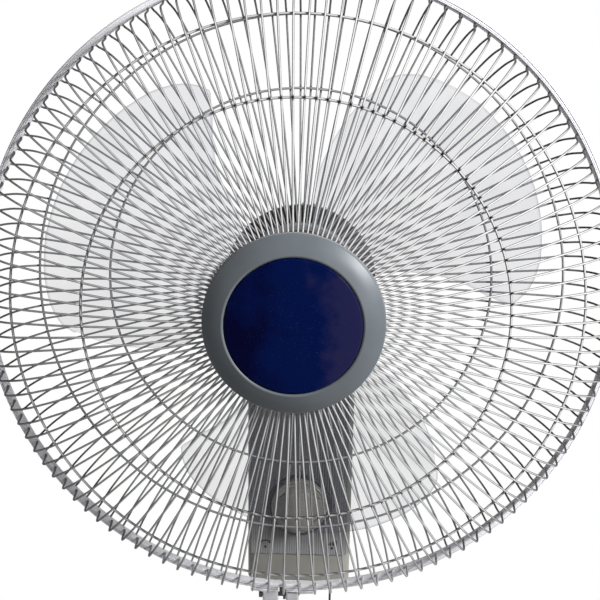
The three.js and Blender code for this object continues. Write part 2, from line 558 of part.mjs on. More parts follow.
const guardRows = (rows, inner, depth) => rows.map(([out, deep, ring]) => [inner + out * (seatInner - inner), deep * depth, ring]);
const capSeat = cap.back - clear - wire.thick / 2;
const bossSeat = motor.bossR + 2 * clear;
piece(head, "rear_guard", wireGuard([
  [seatOuter, seatStep - rim.width, 1], [seatInner, seatStep - rim.width, 0],
  ...guardRows(rearRows, bossSeat, nutBack - clear - wire.thick / 2), [bossSeat, nutBack - clear - wire.thick / 2],
]), whiteWire);
piece(head, "lock_nut", onAxis([
  [motor.bossR + clear, nutBack], [lockNut.r, nutBack], [lockNut.r, nutBack + lockNut.round],
  [lockNut.r - lockNut.round, nutFront], [motor.bossR + clear, nutFront],
], 40), rimPlastic);
piece(head, "front_guard", wireGuard([
  [seatOuter, -seatStep, 1], [seatInner, -seatStep, 0],
  ...guardRows(frontRows, cap.r - cap.overlap, capSeat), [cap.r - cap.overlap - cap.hidden, capSeat],
]), whiteWire);

// rim: a channel that clips over both guards, split at the bottom between two lugs
const band = onAxis([
  [rim.outer, 0], [lipR, 0], [lipR, -rim.lipThick], [floorR, -rim.lipThick],
  [floorR, rim.lipThick - rim.width], [lipR, rim.lipThick - rim.width], [lipR, -rim.width], [rim.outer, -rim.width],
], 64);
const lugBottom = -rim.outer - lug.reach;
const lugBlock = (left, right, bottom) => box([left, right], [lug.front, lug.back], [bottom, -rim.outer + lug.root]);
// the lugs stay outside the channel that the guards' edges sit in
const channel = rod(floorR, -rim.width - over, rim.width + over, "y", [0, 0, 0], 64);
const saddleBottom = -rim.outer - lug.saddle;
const lugs = [
  lugBlock(lug.saddleLeft, lug.splitLeft, saddleBottom), lugBlock(lug.left, lug.splitLeft, lugBottom),
  lugBlock(lug.splitRight, lug.saddleRight, saddleBottom), lugBlock(lug.splitRight, lug.right, lugBottom),
].map((block) => cut(block, channel));
const screwAt = [0, -rimScrew.depth, -rim.outer - rimScrew.below];
const headEnd = lug.left - clear - rimScrew.headThick;
const acrossLugs = rod(rimScrew.r + runClear, lug.left - over, lug.right + over, "x", screwAt, 16);
piece(head, "rim_band", cut(join(band, ...lugs),
  box([lug.splitLeft, lug.splitRight], [lug.front - over, lug.back + over], [lugBottom - over, -lipR + over]),
  acrossLugs, rod(rimScrew.headR + clear, headEnd - clear, lug.left, "x", screwAt, 20)), rimPlastic);
piece(head, "rim_screw", join(
  rod(rimScrew.r, headEnd + rimScrew.headThick / 4, lug.right + clear, "x", screwAt, 16),
  rod(rimScrew.headR, headEnd, lug.left - clear, "x", screwAt, 20)), darkSteel);
const nutSpan = (middle) => [middle - rimScrew.nutHalf, middle + rimScrew.nutHalf];
piece(head, "rim_nut", cut(
  box([lug.splitRight - clear - rimScrew.nutThick, lug.splitRight - clear], nutSpan(screwAt[1]), nutSpan(screwAt[2])),
  acrossLugs), darkSteel);

piece(head, "cap_ring", onAxis([
  [0, cap.back], [cap.r - cap.edge / 2, cap.back], [cap.r, capEdge - cap.edge / 3], [cap.r, capEdge],
  [cap.r - 0.02 * cap.width, capEdge + 0.14 * (capFront - capEdge)],
  [cap.r - 0.5 * cap.width, capEdge + 0.66 * (capFront - capEdge)],
  [recessR + 0.11 * cap.width, capFront], [recessR, capFront - clear], [recessR, capFront - cap.sink],
  [0, capFront - cap.sink],
], 44), silver);
const discR = recessR - disc.gap;
const discFront = capFront + disc.proud;
piece(head, "badge_disc", onAxis([
  [0, capFront - cap.sink + clear], [discR - clear, capFront - cap.sink + clear], [discR, discFront - disc.edge],
  [discR - disc.edge, discFront - clear], [0, discFront],
], 44), navy);

// ---- impeller and motor shaft ----

const shaftFront = hub.front + shaft.past;
const shaftHole = shaft.r + clear;
piece(head, "motor_shaft", rod(shaft.r, -shaftFront, -motor.back - shaft.rear, "y", [0, 0, 0], 24), steel);
piece(head, "rotor_core", onAxis([
  [shaftHole, statorFront - rotor.inset], [rotor.r, statorFront - rotor.inset],
  [rotor.r, statorBack + rotor.inset], [shaftHole, statorBack + rotor.inset],
], 32), darkSteel);
const hubInside = hub.r - hub.wall;
const hubBody = onAxis([
  [shaftHole, hub.front], [hub.r - hub.slope, hub.front], [hub.r - 0.43 * hub.slope, hub.front - hub.wall],
  [hub.r - hub.wall / 2, hub.shoulder + hub.round / 2], [hub.r, hub.shoulder - hub.round], [hub.r, hub.back],
  [hubInside, hub.back], [hubInside, hub.shoulder - hub.round - clear], [hub.r - hub.slope / 2, hub.front - 2 * hub.wall],
  [hub.boss, hub.front - 2 * hub.wall], [hub.boss, hub.bossBack], [shaftHole, hub.bossBack],
], 36);
const hubSpace = rod(hub.r - hub.wall / 2, -2 * hub.r, 2 * hub.r, "y", [0, 0, 0], 36);
const bladeSet = Array.from({ length: blades.count }, (_, k) =>
  cut(blade(blades.turn + (k * 360) / blades.count), hubSpace));
piece(head, "blade", join(hubBody, ...bladeSet), bladePlastic);
const spinnerTip = hub.front + spinner.length;
piece(head, "spinner_nut", onAxis([
  [0, spinnerTip], [spinner.r / 2, spinnerTip - 2 * clear], [0.89 * spinner.r, spinnerTip - 0.36 * spinner.length],
  [spinner.r, hub.front + clear], [shaftHole, hub.front + clear], [shaftHole, shaftFront + clear],
  [0, shaftFront + clear],
], 32), bladePlastic);

export default fan;
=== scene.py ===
# Wall mounted fan: round wire guards, translucent three-blade impeller, silver cap and ribbed base.
# Sizes in the dictionaries are millimetres from the fan axis; depth counts forward from the rim's front.
import math

import bmesh
import bpy
from mathutils import Matrix, Vector


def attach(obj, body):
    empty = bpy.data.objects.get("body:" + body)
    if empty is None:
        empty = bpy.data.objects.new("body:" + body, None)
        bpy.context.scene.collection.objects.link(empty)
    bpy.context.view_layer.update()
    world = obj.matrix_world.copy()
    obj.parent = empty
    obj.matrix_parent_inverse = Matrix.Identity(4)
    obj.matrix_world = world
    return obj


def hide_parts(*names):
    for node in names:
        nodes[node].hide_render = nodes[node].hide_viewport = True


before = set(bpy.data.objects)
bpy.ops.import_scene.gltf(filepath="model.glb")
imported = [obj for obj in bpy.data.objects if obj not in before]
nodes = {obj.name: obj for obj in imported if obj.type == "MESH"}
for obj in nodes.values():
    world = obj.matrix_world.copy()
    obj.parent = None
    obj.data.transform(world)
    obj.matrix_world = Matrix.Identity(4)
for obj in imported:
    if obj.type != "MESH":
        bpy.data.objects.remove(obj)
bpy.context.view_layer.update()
scene = bpy.context.scene
rimFront, axisHeight, baseFront = 215.0, 188.0, -130.0  # wall to rim, origin to axis, depth of the base's face
crease = 35  # degrees between faces, from which an edge shows as an edge


# the head's own millimetres to metres in the shared frame
def place(x, depth, z):
    return Vector((x, -rimFront - depth, z + axisHeight)) / 1000


def added(name, data):
    obj = bpy.data.objects.new(name, data)
    scene.collection.objects.link(obj)
    return obj


# values of a dictionary, in the order asked for
def picked(values, names):
    return [values[name] for name in names.split()]


# camera and cords come first

camera = dict(position=(0.02397, -1.07584, 0.37213), azimuth=1.595, elevation=12.069, roll=0.889,
              sensor=36, lens=76.94, target=(298.13, 293.67), focalPixels=1282.3, frameMiddle=300)


def makeCamera():
    az, el, roll = (math.radians(turn) for turn in picked(camera, "azimuth elevation roll"))
    back = Vector((math.sin(az) * math.cos(el), -math.cos(az) * math.cos(el), math.sin(el)))
    level = Vector((0, 0, 1)).cross(back).normalized()
    upright = back.cross(level)
    right = level * math.cos(roll) + upright * math.sin(roll)
    up = upright * math.cos(roll) - level * math.sin(roll)
    across, down = (camera["target"][k] - camera["frameMiddle"] for k in (0, 1))
    towards = Vector((across, -down, -camera["focalPixels"])).normalized()
    turn = Vector((0, 0, -1)).rotation_difference(towards).to_matrix()
    facing = turn @ Matrix((right, up, back))
    data = bpy.data.cameras.new("camera")
    data.sensor_width, data.lens = camera["sensor"], camera["lens"]
    data.clip_start, data.clip_end = 0.05, 50
    cam = added("camera", data)
    cam.matrix_world = Matrix.Translation(camera["position"]) @ facing.transposed().to_4x4()
    scene.camera = cam


makeCamera()
print("camera placed")


# shapes: every helper works in the fan's own millimetres


# a profile whose third values round its corners
def softened(points, loop=False, steps=4):
    out = []
    for k, point in enumerate(points):
        if len(point) < 3 or (not loop and k in (0, len(points) - 1)):
            out.append(tuple(point[:2]))
            continue
        here, before, after = (Vector(points[(k + s) % len(points)][:2]) for s in (0, -1, 1))
        start = here + (before - here).normalized() * min(point[2], (before - here).length / 2)
        end = here + (after - here).normalized() * min(point[2], (after - here).length / 2)
        for s in range(steps + 1):
            t = s / steps
            q = start * (1 - t) ** 2 + here * 2 * t * (1 - t) + end * t * t
            out.append((q.x, q.y))
    return out


# a profile of (radius, place along the axis) swept round an axis
def turned(bm, profile, centre=(0, 0), axis="depth", segments=96, start=0.0, sweep=360.0, loop=False):
    toPoint = {"depth": lambda r, a, c, s: place(centre[0] + r * c, a, centre[1] + r * s),
               "z": lambda r, a, c, s: place(centre[0] + r * c, centre[1] + r * s, a)}[axis]
    steps = segments if sweep == 360 else segments + 1
    angles = [math.radians(start + sweep * k / segments) for k in range(steps)]
    rows = []
    for r, along in profile:
        rows.append([bm.verts.new(toPoint(r, along, math.cos(a), math.sin(a))) for a in (angles if r else [0])])
    for one, two in list(zip(rows, rows[1:])) + ([(rows[-1], rows[0])] if loop else []):
        for k in range(segments):
            n = (k + 1) % steps
            ring = [one[k % len(one)], one[n % len(one)], two[n % len(two)], two[k % len(two)]]
            bm.faces.new(list(dict.fromkeys(ring)))
    if sweep != 360:
        for k in (0, -1):
            bm.faces.new([row[k] for row in rows])


def skinned(bm, low, high, closed=True):
    for k in range(len(low) - (not closed)):
        n = (k + 1) % len(low)
        bm.faces.new((low[k], low[n], high[n], high[k]))


# rings of vertices joined one to the next, and closed at both ends
def joined(bm, rings):
    for low, high in zip(rings, rings[1:]):
        skinned(bm, low, high)
    bm.faces.new(rings[0])
    bm.faces.new(rings[-1])


# an outline of (x, z) points carried from one depth to another
def prism(bm, outline, low, high):
    joined(bm, [[bm.verts.new(place(x, depth, z)) for x, z in outline] for depth in (low, high)])


def box(bm, left, right, low, top, back, front):
    prism(bm, [(left, low), (right, low), (right, top), (left, top)], back, front)


# material, body and the CAD nodes it stands for
def settle(obj, body, material, replaced=()):
    obj.data.materials.append(material)
    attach(obj, body)
    if replaced:
        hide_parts(*replaced)
    return obj


def meshPiece(name, bm, body, material, slot, *replaced, sharp=crease):
    mesh = bpy.data.meshes.new(name)
    bmesh.ops.recalc_face_normals(bm, faces=bm.faces)
    bm.to_mesh(mesh)
    bm.free()
    mesh.shade_smooth()
    mesh.set_sharp_from_angle(angle=math.radians(sharp))
    return settle(added(name, mesh), body, material, replaced)


# a piece made of one softened profile
def turnedPiece(name, profile, body, material, slot, node, sharp=crease, loop=False, steps=4, **turning):
    bm = bmesh.new()
    turned(bm, softened(profile, loop=loop, steps=steps), loop=loop, **turning)
    return meshPiece(name, bm, body, material, slot, node, sharp=sharp)


def rounded(obj, width, segments=3):
    bevel = obj.modifiers.new("rounded edges", "BEVEL")
    bevel.width, bevel.segments, bevel.limit_method = width / 1000, segments, "ANGLE"
    bevel.angle_limit = math.radians(crease)
    obj.modifiers.new("even shading", "WEIGHTED_NORMAL").keep_sharp = False
    return obj


# runs: (placed points, closed, share of the wire's radius)
def wirePiece(name, runs, wire, body, material, slot, *replaced):
    data = bpy.data.curves.new(name, "CURVE")
    data.dimensions, data.bevel_depth, data.bevel_resolution = "3D", wire / 1000, 3
    data.use_fill_caps = True
    for points, closed, share in runs:
        spline = data.splines.new("POLY")
        spline.points.add(len(points) - 1)
        for target, point in zip(spline.points, points):
            target.co, target.radius = (*point, 1), share
        spline.use_cyclic_u = closed
        spline.use_smooth = True
    return settle(added(name, data), body, material, replaced)


# the CAD solid's own form with its flats joined and its edges rounded
def refined(name, body, material, width=0.5, segments=2):
    mesh = nodes[name].data.copy()
    bm = bmesh.new()
    bm.from_mesh(mesh)
    bmesh.ops.remove_doubles(bm, verts=bm.verts, dist=2e-6)
    bmesh.ops.dissolve_limit(bm, angle_limit=math.radians(1), verts=bm.verts, edges=bm.edges)
    bm.to_mesh(mesh)
    bm.free()
    mesh.materials.clear()
    mesh.shade_smooth()
    mesh.set_sharp_from_angle(angle=math.radians(crease))
    obj = settle(added(name + "_finished", mesh), body, material, (name,))
    return rounded(obj, width, segments)


# finishes: shared effects first, then each material with its own values


def tone(red, green, blue):  # screen colour, 0 to 255, to the values that shaders take
    return tuple(c / 3294.6 if c <= 10 else ((c / 255 + 0.055) / 1.055) ** 2.4 for c in (red, green, blue)) + (1,)


def addNode(tree, kind, inputs=None, **settings):
    node = tree.nodes.new("ShaderNode" + kind)
    for key, value in settings.items():
        setattr(node, key, value)
    for key, value in (inputs or {}).items():
        if isinstance(value, bpy.types.NodeSocket):
            tree.links.new(value, node.inputs[key])
        else:
            node.inputs[key].default_value = value
    return node


grey = (0.5, 0.5, 0.5, 1)  # stands in until a colour is linked


def linked(tree, node, sources):
    for label, source in sources.items():
        tree.links.new(source, node.inputs[label])


def objectSpot(tree):
    return addNode(tree, "TexCoord").outputs["Object"]


def oneAxis(tree, vector, letter):
    return addNode(tree, "SeparateXYZ", {"Vector": vector}).outputs[letter]


def maths(tree, operation, *values):
    return addNode(tree, "Math", dict(enumerate(values)), operation=operation).outputs[0]


def mapped(tree, value, low, high, toLow=0.0, toHigh=1.0, curve="LINEAR"):
    return addNode(tree, "MapRange", {"Value": value, "From Min": low, "From Max": high, "To Min": toLow,
                                      "To Max": toHigh}, interpolation_type=curve).outputs[0]


def noise(tree, spot, scale, detail=2.0):
    return addNode(tree, "TexNoise", {"Vector": spot, "Scale": scale, "Detail": detail}).outputs["Fac"]


def valued(tree, value, colour):  # the colour, lighter or darker
    return addNode(tree, "HueSaturation", {"Value": value, "Color": colour}).outputs[0]


def blended(tree, share, one, two):
    return addNode(tree, "Mix", {0: share, 6: one, 7: two}, data_type="RGBA").outputs[2]


def nodeGroup(name, takes, gives):
    tree = bpy.data.node_groups.new(name, "ShaderNodeTree")
    for label, value in takes.items():
        kind = "NodeSocketFloat" if isinstance(value, (int, float)) else \
            "NodeSocketColor" if len(value) == 4 else "NodeSocketVector"
        tree.interface.new_socket(name=label, in_out="INPUT", socket_type=kind).default_value = value
    for label in gives:
        kind = "NodeSocketColor" if label == "Colour" else "NodeSocketFloat"
        tree.interface.new_socket(name=label, in_out="OUTPUT", socket_type=kind)
    return tree, tree.nodes.new("NodeGroupInput").outputs, tree.nodes.new("NodeGroupOutput")


# moulded plastic or paint: cloudy tone, fine grain
def mouldedSkin():
    tree, given, result = nodeGroup("Moulded skin", {
        "Colour": grey, "Mottle": 0.06, "Patch Scale": 45.0, "Grain Scale": 1600.0,
        "Roughness": 0.45, "Spread": 0.12}, ("Colour", "Roughness", "Height"))
    spot = objectSpot(tree)
    patch = noise(tree, spot, given["Patch Scale"], 3.0)
    grain = noise(tree, spot, given["Grain Scale"])
    swing = mapped(tree, patch, 0.3, 0.7, -1.0)
    lift = maths(tree, "MULTIPLY_ADD", swing, given["Mottle"], 1.0)
    shade = valued(tree, lift, given["Colour"])
    fine = maths(tree, "SUBTRACT", grain, 0.5)
    rough = maths(tree, "MULTIPLY_ADD", fine, given["Spread"], given["Roughness"])
    cloudy = maths(tree, "MULTIPLY_ADD", swing, 0.03, rough)
    linked(tree, result, {"Colour": shade, "Roughness": cloudy, "Height": grain})
    return tree


# dust on what faces up, thicker in patches
def settledDust():
    tree, given, result = nodeGroup("Settled dust", {
        "Colour": grey, "Dust Colour": tone(170, 168, 160), "Amount": 0.3, "Roughness": 0.5},
        ("Colour", "Roughness"))
    spot = addNode(tree, "TexCoord")
    rise = oneAxis(tree, spot.outputs["Normal"], "Z")
    upward = mapped(tree, rise, 0.25, 0.95)
    patch = noise(tree, spot.outputs["Object"], 130.0, 4.0)
    thin = mapped(tree, patch, 0.35, 0.65)
    both = maths(tree, "MULTIPLY", upward, thin)
    mask = maths(tree, "MULTIPLY", both, given["Amount"])
    mixed = blended(tree, mask, given["Colour"], given["Dust Colour"])
    dull = maths(tree, "MULTIPLY_ADD", mask, 0.4, given["Roughness"])
    linked(tree, result, {"Colour": mixed, "Roughness": dull})
    return tree


# painted shade: the shadow of the blades and motor, painted on what lies behind the blades, above a height
def paintedShadeAbove():
    tree, given, result = nodeGroup("Painted shade above a height", {
        "Colour": grey, "Low": -0.05, "High": -0.02, "Amount": 0.3}, ("Colour",))
    spot = objectSpot(tree)
    patch = noise(tree, spot, 70.0, 4.0)
    height = oneAxis(tree, spot, "Z")
    ragged = maths(tree, "MULTIPLY_ADD", patch, 0.02, height)
    level = mapped(tree, ragged, given["Low"], given["High"], curve="SMOOTHSTEP")
    value = maths(tree, "MULTIPLY", level, given["Amount"])
    left = maths(tree, "SUBTRACT", 1.0, value)
    shade = valued(tree, left, given["Colour"])
    linked(tree, result, {"Colour": shade})
    return tree


# painted shade on the wires' sides, off their fronts and backs; the lowest wires get none
def paintedWireShade():
    tree, given, result = nodeGroup("Painted wire shade", {
        "Colour": grey, "Amount": 0.9, "Front": 0.88, "Side": 0.45, "Unshaded Below": -0.02,
        "Full Above": 0.015}, ("Colour",))
    spot = addNode(tree, "TexCoord").outputs
    depthward = oneAxis(tree, spot["Normal"], "Y")
    facing = maths(tree, "ABSOLUTE", depthward)
    side = mapped(tree, facing, given["Front"], given["Side"], 0, given["Amount"])
    height = oneAxis(tree, spot["Object"], "Z")
    shadeByHeight = mapped(tree, height, given["Unshaded Below"], given["Full Above"])
    less = maths(tree, "MULTIPLY", side, shadeByHeight)
    kept = maths(tree, "SUBTRACT", 1.0, less)
    shade = valued(tree, kept, given["Colour"])
    linked(tree, result, {"Colour": shade})
    return tree


# lighter, smoother edges where hands and cloths rub
def rubbedEdges():
    tree, given, result = nodeGroup("Rubbed edges", {
        "Colour": grey, "Edge Colour": (0.8, 0.8, 0.8, 1), "Width": 0.0008, "Amount": 0.5},
        ("Colour", "Mask"))
    bent = addNode(tree, "Bevel", {"Radius": given["Width"]}, samples=4)
    flat = addNode(tree, "NewGeometry")
    same = addNode(tree, "VectorMath", {0: bent.outputs[0], 1: flat.outputs["Normal"]}, operation="DOT_PRODUCT")
    edge = mapped(tree, same.outputs["Value"], 0.995, 0.9)
    spot = objectSpot(tree)
    patch = noise(tree, spot, 220.0, 3.0)
    broken = mapped(tree, patch, 0.4, 0.6)
    both = maths(tree, "MULTIPLY", edge, broken)
    mask = maths(tree, "MULTIPLY", both, given["Amount"])
    mixed = blended(tree, mask, given["Colour"], given["Edge Colour"])
    linked(tree, result, {"Colour": mixed, "Mask": mask})
    return tree


# streaks along one way, for drawn, rolled or turned metal
def drawnMetal():
    tree, given, result = nodeGroup("Drawn metal", {
        "Colour": grey, "Stretch": (900.0, 900.0, 40.0), "Roughness": 0.35, "Spread": 0.25},
        ("Colour", "Roughness", "Height"))
    spot = objectSpot(tree)
    pulled = addNode(tree, "VectorMath", {0: spot, 1: given["Stretch"]}, operation="MULTIPLY")
    streak = noise(tree, pulled.outputs[0], 1.0, 3.0)
    fine = maths(tree, "SUBTRACT", streak, 0.5)
    rough = maths(tree, "MULTIPLY_ADD", fine, given["Spread"], given["Roughness"])
    lift = maths(tree, "MULTIPLY_ADD", fine, 0.5, 1.0)
    shade = valued(tree, lift, given["Colour"])
    linked(tree, result, {"Colour": shade, "Roughness": rough, "Height": streak})
    return tree


effects = dict(skin=mouldedSkin(), dust=settledDust(), paintedShade=paintedShadeAbove(), wireShade=paintedWireShade(), edges=rubbedEdges(),
               drawn=drawnMetal())


def placed(tree, effect, **inputs):
    longer = dict(edgeColour="Edge Colour", patch="Patch Scale", grain="Grain Scale")
    filled = {longer.get(key, key.capitalize()): value for key, value in inputs.items()}
    return addNode(tree, "Group", filled, node_tree=effects[effect]).outputs


def startMaterial(name, **plain):
    material = bpy.data.materials.new(name)
    material.use_nodes = True
    tree = material.node_tree
    shader = tree.nodes["Principled BSDF"]
    for label, value in plain.items():
        shader.inputs[label].default_value = value
    return material, tree, shader


def surfaced(tree, shader, colour, rough, height, bump, depth, **more):
    relief = addNode(tree, "Bump", {"Strength": bump, "Distance": depth, "Height": height}).outputs[0]
    linked(tree, shader, {"Base Color": colour, "Roughness": rough, "Normal": relief, **more})


# dust, wear, painted shade above a height and painted shade on wire sides are amounts from 0 to 1
def plastic(name, colour, roughness=0.45, mottle=0.05, patch=45.0, grain=1600.0, bump=0.15, dust=0.0, paintedShade=0.0,
            paintedSideShade=0.0, wear=0.0, wearColour=(0.75, 0.75, 0.75, 1), wearWidth=0.0008, **plain):
    material, tree, shader = startMaterial(name, **plain)
    skin = placed(tree, "skin", colour=colour, mottle=mottle, patch=patch, grain=grain, roughness=roughness)
    shown, rough = skin["Colour"], skin["Roughness"]
    # painted shade above a height
    if paintedShade:
        shown = placed(tree, "paintedShade", colour=shown, amount=paintedShade)["Colour"]
    if wear:
        shown = placed(tree, "edges", colour=shown, edgeColour=wearColour, amount=wear, width=wearWidth)["Colour"]
    if dust:
        dusty = placed(tree, "dust", colour=shown, amount=dust, roughness=rough)
        shown, rough = dusty["Colour"], dusty["Roughness"]
    # painted shade on the sides of the wires
    if paintedSideShade:
        shown = placed(tree, "wireShade", colour=shown, amount=paintedSideShade)["Colour"]
    surfaced(tree, shader, shown, rough, skin["Height"], bump, 0.0002)
    return material


def metal(name, colour, roughness=0.35, stretch=(900.0, 900.0, 40.0), bump=0.1):
    material, tree, shader = startMaterial(name, Metallic=1.0)
    drawn = placed(tree, "drawn", colour=colour, stretch=stretch, roughness=roughness)
    surfaced(tree, shader, drawn["Colour"], drawn["Roughness"], drawn["Height"], bump, 0.0001)
    return material


# the base and the ribbed panel darken above a height: painted shade of the blades and motor
basePlastic = plastic("base grey plastic", tone(130, 128, 123), roughness=0.5, dust=0.1, wear=0.3, paintedShade=0.6,
                      wearColour=tone(170, 169, 165))
panelPlastic = plastic("ribbed panel plastic", tone(144, 144, 146), roughness=0.55, mottle=0.05, paintedShade=0.66)
coverPlastic = plastic("warm grey cover plastic", tone(149, 147, 140), roughness=0.55, mottle=0.06, wear=0.2,
                       wearColour=tone(170, 168, 160))
knobPlastic = plastic("knob warm grey plastic", tone(138, 136, 127), roughness=0.42, wear=0.5,
                      wearColour=tone(165, 162, 152))
lockPlastic = plastic("lock ring grey plastic", tone(128, 128, 131), roughness=0.45, dust=0.15, wear=0.7,
                      wearColour=tone(215, 215, 215))
headPlastic = plastic("head grey plastic", tone(112, 107, 103), roughness=0.5, dust=0.15, wear=0.3,
                      wearColour=tone(165, 163, 158))
blackPlastic = plastic("black plastic", tone(30, 30, 31), roughness=0.4, mottle=0.1, wear=0.3,
                       wearColour=tone(80, 80, 80))
rimPaint = plastic("rim pale grey plastic", tone(238, 238, 242), roughness=0.42, mottle=0.05, patch=60.0,
                   dust=0.1, wear=0.3, wearColour=tone(235, 235, 235))
# the wires darken on their sides: painted shade
wirePaint = plastic("front wire silver paint", tone(206, 206, 206), roughness=0.5, mottle=0.05, patch=180.0,
                    grain=2600.0, paintedSideShade=0.92, **{"Specular IOR Level": 0.12})
# a darker copy of the wire paint: painted shade on the rear guard and both guard plates
shadedWirePaint = plastic("wire paint darkened as painted shade", tone(166, 166, 168), roughness=0.55, mottle=0.07, patch=180.0,
                        grain=2600.0, paintedSideShade=0.75, **{"Specular IOR Level": 0.1})
capSilver = plastic("cap silver paint", tone(97, 103, 108), roughness=0.34, mottle=0.1, patch=34.0, grain=3200.0,
                    bump=0.08, wear=0.5, wearColour=tone(205, 208, 210), wearWidth=0.0005,
                    **{"Specular IOR Level": 0.24})
brightSteel = metal("bright steel", (0.62, 0.62, 0.63, 1), roughness=0.28)
platedSteel = metal("zinc plated steel", (0.55, 0.55, 0.53, 1), roughness=0.42, stretch=(60.0, 60.0, 60.0))
darkSteel = metal("blackened steel", (0.07, 0.07, 0.075, 1), roughness=0.45, stretch=(300.0, 300.0, 300.0))
canMetal = metal("capacitor can", (0.5, 0.51, 0.52, 1), roughness=0.38, stretch=(700.0, 700.0, 30.0))
rotorIron = metal("rotor laminations", (0.3, 0.3, 0.3, 1), roughness=0.5, stretch=(30.0, 2600.0, 30.0), bump=0.6)


# clear, faintly smoky plastic: the moulded rim of each blade is thicker and lets less through
smoky = dict(colour=tone(98, 100, 120), alpha=0.12, uneven=0.025, rim=0.3, roughness=0.3)


def bladeMaterial():
    material, tree, shader = startMaterial("blade clear plastic", **{"Specular IOR Level": 0.4})
    skin = placed(tree, "skin", colour=smoky["colour"], mottle=0.03, patch=26.0, grain=1200.0,
                  roughness=smoky["roughness"], spread=0.08)
    edge = addNode(tree, "Attribute", attribute_name="bladeEdge").outputs["Fac"]
    cloud = noise(tree, objectSpot(tree), 30.0)
    thick = mapped(tree, cloud, 0.3, 0.7, smoky["alpha"] - smoky["uneven"], smoky["alpha"] + smoky["uneven"])
    solid = addNode(tree, "Mix", {"Factor": edge, "A": thick, "B": smoky["rim"]})
    surfaced(tree, shader, skin["Colour"], skin["Roughness"], skin["Height"], 0.06, 0.0003,
             Alpha=solid.outputs["Result"])
    return material


# deep blue enamel with painted light: darker on the side away from the lamp (painted shade), a purple haze in patches
# on the lamp's side (painted sheen), fine specks
enamel = dict(deep=tone(0, 0, 36), blue=tone(0, 15, 65), paintedSheen=tone(48, 44, 76), speck=tone(40, 64, 110), sheenAmount=0.5)


def enamelMaterial():
    material, tree, shader = startMaterial("disc navy enamel", **{"Specular IOR Level": 0.03})
    spot = objectSpot(tree)
    across = oneAxis(tree, spot, "X")
    cloud = addNode(tree, "TexNoise", {"Vector": spot, "Scale": 42.0, "Detail": 5.0, "Roughness": 0.6}).outputs["Fac"]
    drift = maths(tree, "MULTIPLY_ADD", cloud, 0.09, across)
    lit = mapped(tree, drift, 0.004, 0.045, curve="SMOOTHSTEP")
    sheenMask = mapped(tree, drift, 0.056, 0.084, 0, enamel["sheenAmount"], curve="SMOOTHSTEP")
    body = blended(tree, lit, enamel["deep"], enamel["blue"])
    sheened = blended(tree, sheenMask, body, enamel["paintedSheen"])
    dots = noise(tree, spot, 1100.0, 1.0)
    few = mapped(tree, dots, 0.66, 0.76, 0, 0.4)
    shown = blended(tree, few, sheened, enamel["speck"])
    rough = mapped(tree, cloud, 0, 1, 0.14, 0.3)
    linked(tree, shader, {"Base Color": shown, "Roughness": rough})
    return material


# a cord's lay or a winding's turns, as slanting bands
def twistedMaterial(name, colour, pitch, direction="Z", **plain):
    material, tree, shader = startMaterial(name, **plain)
    spot = objectSpot(tree)
    bands = addNode(tree, "TexWave", {"Vector": spot, "Scale": 20 / pitch, "Distortion": 0.6, "Detail": 1.0},
                    bands_direction=direction).outputs["Fac"]
    skin = placed(tree, "skin", colour=colour, mottle=0.12, patch=120.0, grain=1800.0, roughness=0.6)
    dark = valued(tree, mapped(tree, bands, 0, 1, 0.65, 1.1), skin["Colour"])
    surfaced(tree, shader, dark, skin["Roughness"], bands, 0.5, 0.0003)
    return material


bladePlastic = bladeMaterial()
discNavy = enamelMaterial()
cordBraid = twistedMaterial("pull cord braid", tone(17, 17, 18), 1.6, direction="DIAGONAL")
copperWire = twistedMaterial("copper winding", (0.45, 0.16, 0.05, 1), 0.8, direction="Y", **{"Metallic": 0.7})
dialInk = plastic("dial ink", tone(14, 14, 15), roughness=0.6, mottle=0.1, grain=2400.0)
print("finishes mixed")


# pull cords: each hangs from its switch to a bell

pulls = dict(x=26.6, depth=-150, top=-255.5, mouth=-272, bottom=-359, cordRadius=0.9, points=16)
bell = dict(low=-379, high=-355, radius=6, wall=1.2)


def makePull(side, body, cordNode, pullNode):
    x = side * pulls["x"]
    drop = pulls["bottom"] - pulls["top"]
    last = pulls["points"] - 1
    run = [place(x, pulls["depth"], pulls["top"] + drop * (k / last)) for k in range(last + 1)]
    cord = wirePiece(cordNode + "_braid", [(run, False, 1)], pulls["cordRadius"], body, cordBraid, "cord", cordNode)
    low, high, r, wall = picked(bell, "low high radius wall")
    form = softened([(0, high), (2.2, high), (2.6, high - 2.0, 0.8), (3.4, high - 5.0, 2.0), (5.2, high - 12, 3.0),
                     (5.6, low + 4.0, 1.0), (r, low + 3.4, 0.6), (r, low + 0.6, 0.6), (r - wall, low, 0.5),
                     (r - wall - 0.8, low + 0.8, 0.4), (r - wall - 0.9, low + 6, 2), (0, low + 8)])
    bm = bmesh.new()
    turned(bm, form, centre=(x, pulls["depth"]), axis="z", segments=48)
    for k in range(3):  # grip lines round the bell
        line = low + 7.0 + 1.6 * k
        turned(bm, [(5.45, line - 0.4), (5.75, line), (5.45, line + 0.4), (4.9, line)], centre=(x, pulls["depth"]),
               axis="z", segments=48, loop=True)
    weight = meshPiece(pullNode + "_bell", bm, body, blackPlastic, "black_plastic", pullNode)


makePull(1, "speed_line", "speed_cord", "speed_pull")
makePull(-1, "swing_line", "swing_cord", "swing_pull")
print("pull cords hung")


# wire guards: each wire's run and each ring are (radius, depth)

